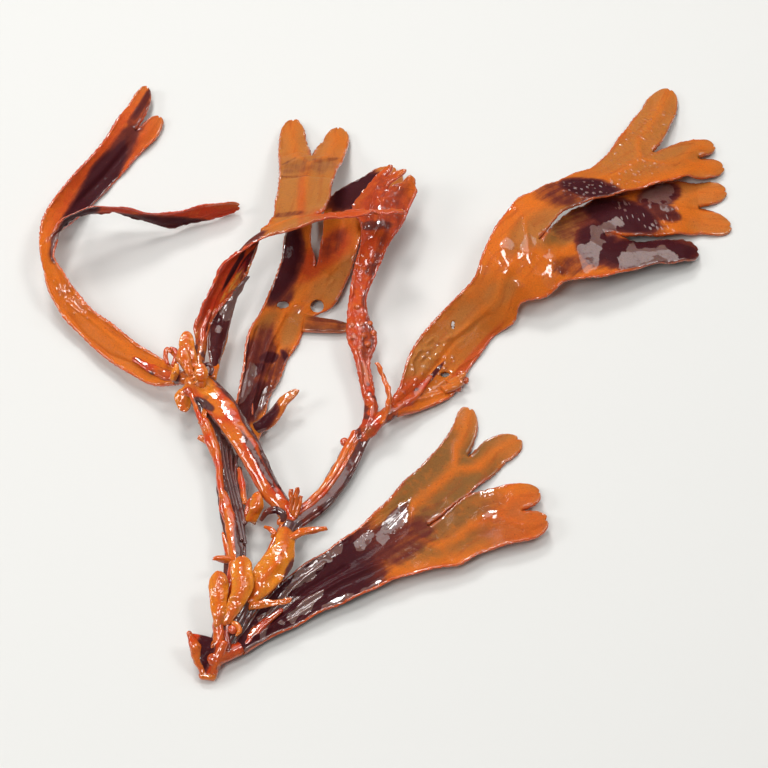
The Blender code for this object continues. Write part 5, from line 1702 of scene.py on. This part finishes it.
class SeaweedColours(PropertyGroup):
    """Colours of the wet tissue."""

    orange: colour_property("Orange", "Blades with light through them", "#CF6A1E")
    golden: colour_property("Golden", "Young tips of the blades", "#AE6D34")
    amber: colour_property("Amber", "Small blades on the stems", "#E0841E")
    stem: colour_property("Stem", "Stalks and the small blades on them", "#C93E14")
    tan: colour_property("Tan", "Thin, olive-golden tissue", "#85592B")
    red: colour_property("Red", "Streaks along the blades", "#98330F")
    flush: colour_property("Flush", "Red tissue of the older blades", "#B8391D")
    rim: colour_property("Rim", "Thin margins", "#C4421B")
    brown: colour_property("Brown", "Edges of the dark tissue", "#6A2B20")
    # Maroon: the thick tissue's own colour, and also the painted shade that the stains lay in
    # shadows, channels and grooves.
    maroon: colour_property("Maroon", "Thick or shaded tissue", "#3C0D15")
    # A painted reflection: the pale sky seen in the water that stands on dark tissue.
    glaze: colour_property("Glaze", "Pale water that stands on dark tissue", "#9E7B70")


class StudioSettings(PropertyGroup):
    """The board under the sprig and the lights on it."""

    board: colour_property("Board", "Colour of the board under the sprig", "#DDDCD8")
    softbox: power_property("Softbox", "softbox", 2.8)
    key: power_property("Key lamp", "lamp behind", 4.6)
    side: power_property("Side lamp", "lamp on the left", 3.0)
    top: power_property("Top lamp", "lamp above", 2.8)
    front: power_property("Front lamp", "lamp in front", 4.4)
    right: power_property("Right lamp", "lamp on the right", 2.8)
    sky: FloatProperty(
        name="Room", description="Strength of the light from all round", default=0.15, min=0.0
    )


def finish_of(slot, scene):
    """The one material of a slot's pieces, made the first time that it is asked for."""
    name, thin, young, ripple, glaze_share = FINISHES[slot]
    colours = scene.seaweed_colours
    return bpy.data.materials.get(name) or wet_thallus(
        name, colours, getattr(colours, thin), getattr(colours, young), ripple, glaze_share
    )


def finish_piece(obj, slot, *nodes):
    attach(obj, BODY)
    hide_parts(*nodes)


def small_blade(shells, arm, look):
    """A bladelet: the same surface as a frond's, with fewer columns."""
    sheet = Sheet()
    grow(sheet, arm, BLADELET_COLUMNS, look)
    sheet.close_into(shells)


class SEAWEED_OT_fronds(Operator):
    """Builds each frond with its teeth, midribs, creases and bumps, and what grows from it"""

    bl_idname = "seaweed.fronds"
    bl_label = "Fronds"

    def execute(self, context):
        sizes = context.scene.seaweed_sizes
        small = Look(sizes, SPROUT_LOOK, **SMALL_SIZES)
        for name, frond in FRONDS.items():
            drawn = FROND_LOOKS[name]
            shells = Shells()
            sheet = Sheet()
            grow(sheet, frond, BLADE_COLUMNS, Look(sizes, drawn, **drawn.get("sizes", {})))
            sheet.close_into(shells, drawn.get("holes", ()))
            for arm in SPROUTS.get(name, ()):
                small_blade(shells, arm, small)
            for place in KNOBS.get(name, ()):
                knob(shells, *place)
            finish = finish_of("wet_blade", context.scene)
            finish_piece(shells.make(name.replace("frond", "blade"), finish), "wet_blade", name)
        return {"FINISHED"}


class SEAWEED_OT_stems(Operator):
    """Builds the forked stems as ridged tubes with the strands that peel along them"""

    bl_idname = "seaweed.stems"
    bl_label = "Stems"

    def execute(self, context):
        shells = Shells()
        for stations, width, depth, ridges, stain, _ in STEMS:
            s, centres, sizes, side, over = line_through(stations, STEM_PITCH)
            line = s, centres, sizes * [width, depth], side, over
            shade = flank_shade if stain is None else plain_shade(stain)
            tube(shells, line, STEM_SIDES, STEM_DEPTH, ridges, shade)
        for name, stations in BRANCHES.items():
            line = line_through(branch_stations(name, stations), STEM_PITCH)
            shade = plain_shade(BRANCH_STAIN, BRANCH_GOLD)
            tube(shells, line, STEM_SIDES, BRANCH_DEPTH, BRANCH_RIDGES, shade, FINE_BEAD)
        for stations, *_, placed in STEMS:
            strands(shells, stations, placed)
        curls(shells, BANDS, STEM_PITCH, BAND_SIDES)
        finish = finish_of("wet_stem", context.scene)
        finish_piece(shells.make("stems", finish), "wet_stem", "stipe")
        return {"FINISHED"}


class SEAWEED_OT_bladelets(Operator):
    """Builds the small blades, twigs and knobs on the stems, and the trough of the cut base"""

    bl_idname = "seaweed.bladelets"
    bl_label = "Bladelets"

    def execute(self, context):
        shells = Shells()
        sizes = context.scene.seaweed_sizes
        young = Look(sizes, YOUNG_LOOK, **SMALL_SIZES)
        for arm in BLADELETS:
            small_blade(shells, arm, young)
        small_blade(shells, STUB, Look(sizes, STUB_LOOK, **STUB_SIZES))
        curls(shells, CURLS, CURL_PITCH, CURL_SIDES)
        for place in KNOBS["stipe"]:
            knob(shells, *place)
        finish = finish_of("wet_stem", context.scene)
        finish_piece(shells.make("bladelets", finish), "wet_stem", "stipe")
        return {"FINISHED"}


class SEAWEED_OT_studio(Operator):
    """Sets the pale board, the lights and the camera at the view's angle"""

    bl_idname = "seaweed.studio"
    bl_label = "Studio"

    def execute(self, context):
        scene = context.scene
        studio = scene.seaweed_studio
        half, gap = BOARD_SIDE / 2 * MM, BOARD_GAP * MM
        corners = [(x * half, y * half, -gap) for x, y in ((-1, -1), (1, -1), (1, 1), (-1, 1))]
        mesh = bpy.data.meshes.new("board")
        mesh.from_pydata(corners, [], [(0, 1, 2, 3)])
        mesh.materials.append(matte_paper("matte board", studio.board))
        board = bpy.data.objects.new("board", mesh)
        scene.collection.objects.link(board)
        middle = mathutils.Vector(-PLAN_CENTRE * MM)
        for name, (turn, rise, reach, *sides, power) in LAMPS.items():
            light = bpy.data.lights.new(name, "AREA")
            light.shape = "RECTANGLE"
            light.size, light.size_y = sides
            light.energy = getattr(studio, power)
            lamp = bpy.data.objects.new(name, light)
            turn, rise = math.radians(turn), math.radians(rise)
            aim = mathutils.Vector(
                (math.sin(turn) * math.cos(rise), math.cos(turn) * math.cos(rise), math.sin(rise))
            )
            lamp.location = middle + reach * aim
            lamp.rotation_euler = aim.to_track_quat("Z", "Y").to_euler()
            scene.collection.objects.link(lamp)
        world = bpy.data.worlds.new("room")
        world.use_nodes = True
        sky = world.node_tree.nodes["Background"]
        sky.inputs["Color"].default_value = (*linear("#F4F6F8"), 1.0)
        sky.inputs["Strength"].default_value = studio.sky
        scene.world = world
        tilt = math.radians(VIEW_TILT)
        camera = bpy.data.cameras.new("camera")
        camera.sensor_width = SENSOR_WIDTH
        camera.lens = SENSOR_WIDTH * EYE_DISTANCE / VIEW_SPAN
        eye = bpy.data.objects.new("camera", camera)
        offset = EYE_DISTANCE * MM * np.array([0.0, -math.cos(tilt), math.sin(tilt)])
        eye.location = -PLAN_CENTRE * MM + offset
        eye.rotation_euler = (math.pi / 2 - tilt, 0.0, 0.0)
        scene.collection.objects.link(eye)
        scene.camera = eye
        scene.view_settings.view_transform = "Standard"
        return {"FINISHED"}


class SEAWEED_PT_panel(Panel):
    """The sprig's sizes and colours, and a button for each step"""

    bl_label = "Fucus seaweed"
    bl_space_type = "VIEW_3D"
    bl_region_type = "UI"
    bl_category = "Seaweed"

    def draw(self, context):
        scene = context.scene
        for settings in (scene.seaweed_sizes, scene.seaweed_colours, scene.seaweed_studio):
            box = self.layout.box()
            for label in settings.__annotations__:
                box.prop(settings, label)
        for step in STEPS:
            self.layout.operator(step.bl_idname)


STEPS = (SEAWEED_OT_fronds, SEAWEED_OT_stems, SEAWEED_OT_bladelets, SEAWEED_OT_studio)
CLASSES = (BladeSizes, SeaweedColours, StudioSettings, *STEPS, SEAWEED_PT_panel)


def register():
    for made in CLASSES:
        bpy.utils.register_class(made)
    bpy.types.Scene.seaweed_sizes = PointerProperty(type=BladeSizes)
    bpy.types.Scene.seaweed_colours = PointerProperty(type=SeaweedColours)
    bpy.types.Scene.seaweed_studio = PointerProperty(type=StudioSettings)


def unregister():
    del bpy.types.Scene.seaweed_studio
    del bpy.types.Scene.seaweed_colours
    del bpy.types.Scene.seaweed_sizes
    for made in reversed(CLASSES):
        bpy.utils.unregister_class(made)


def main():
    """Builds the sprig in order."""
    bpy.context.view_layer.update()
    register()
    bpy.ops.seaweed.fronds()
    bpy.ops.seaweed.stems()
    bpy.ops.seaweed.bladelets()
    bpy.ops.seaweed.studio()


if __name__ == "__main__":
    main()
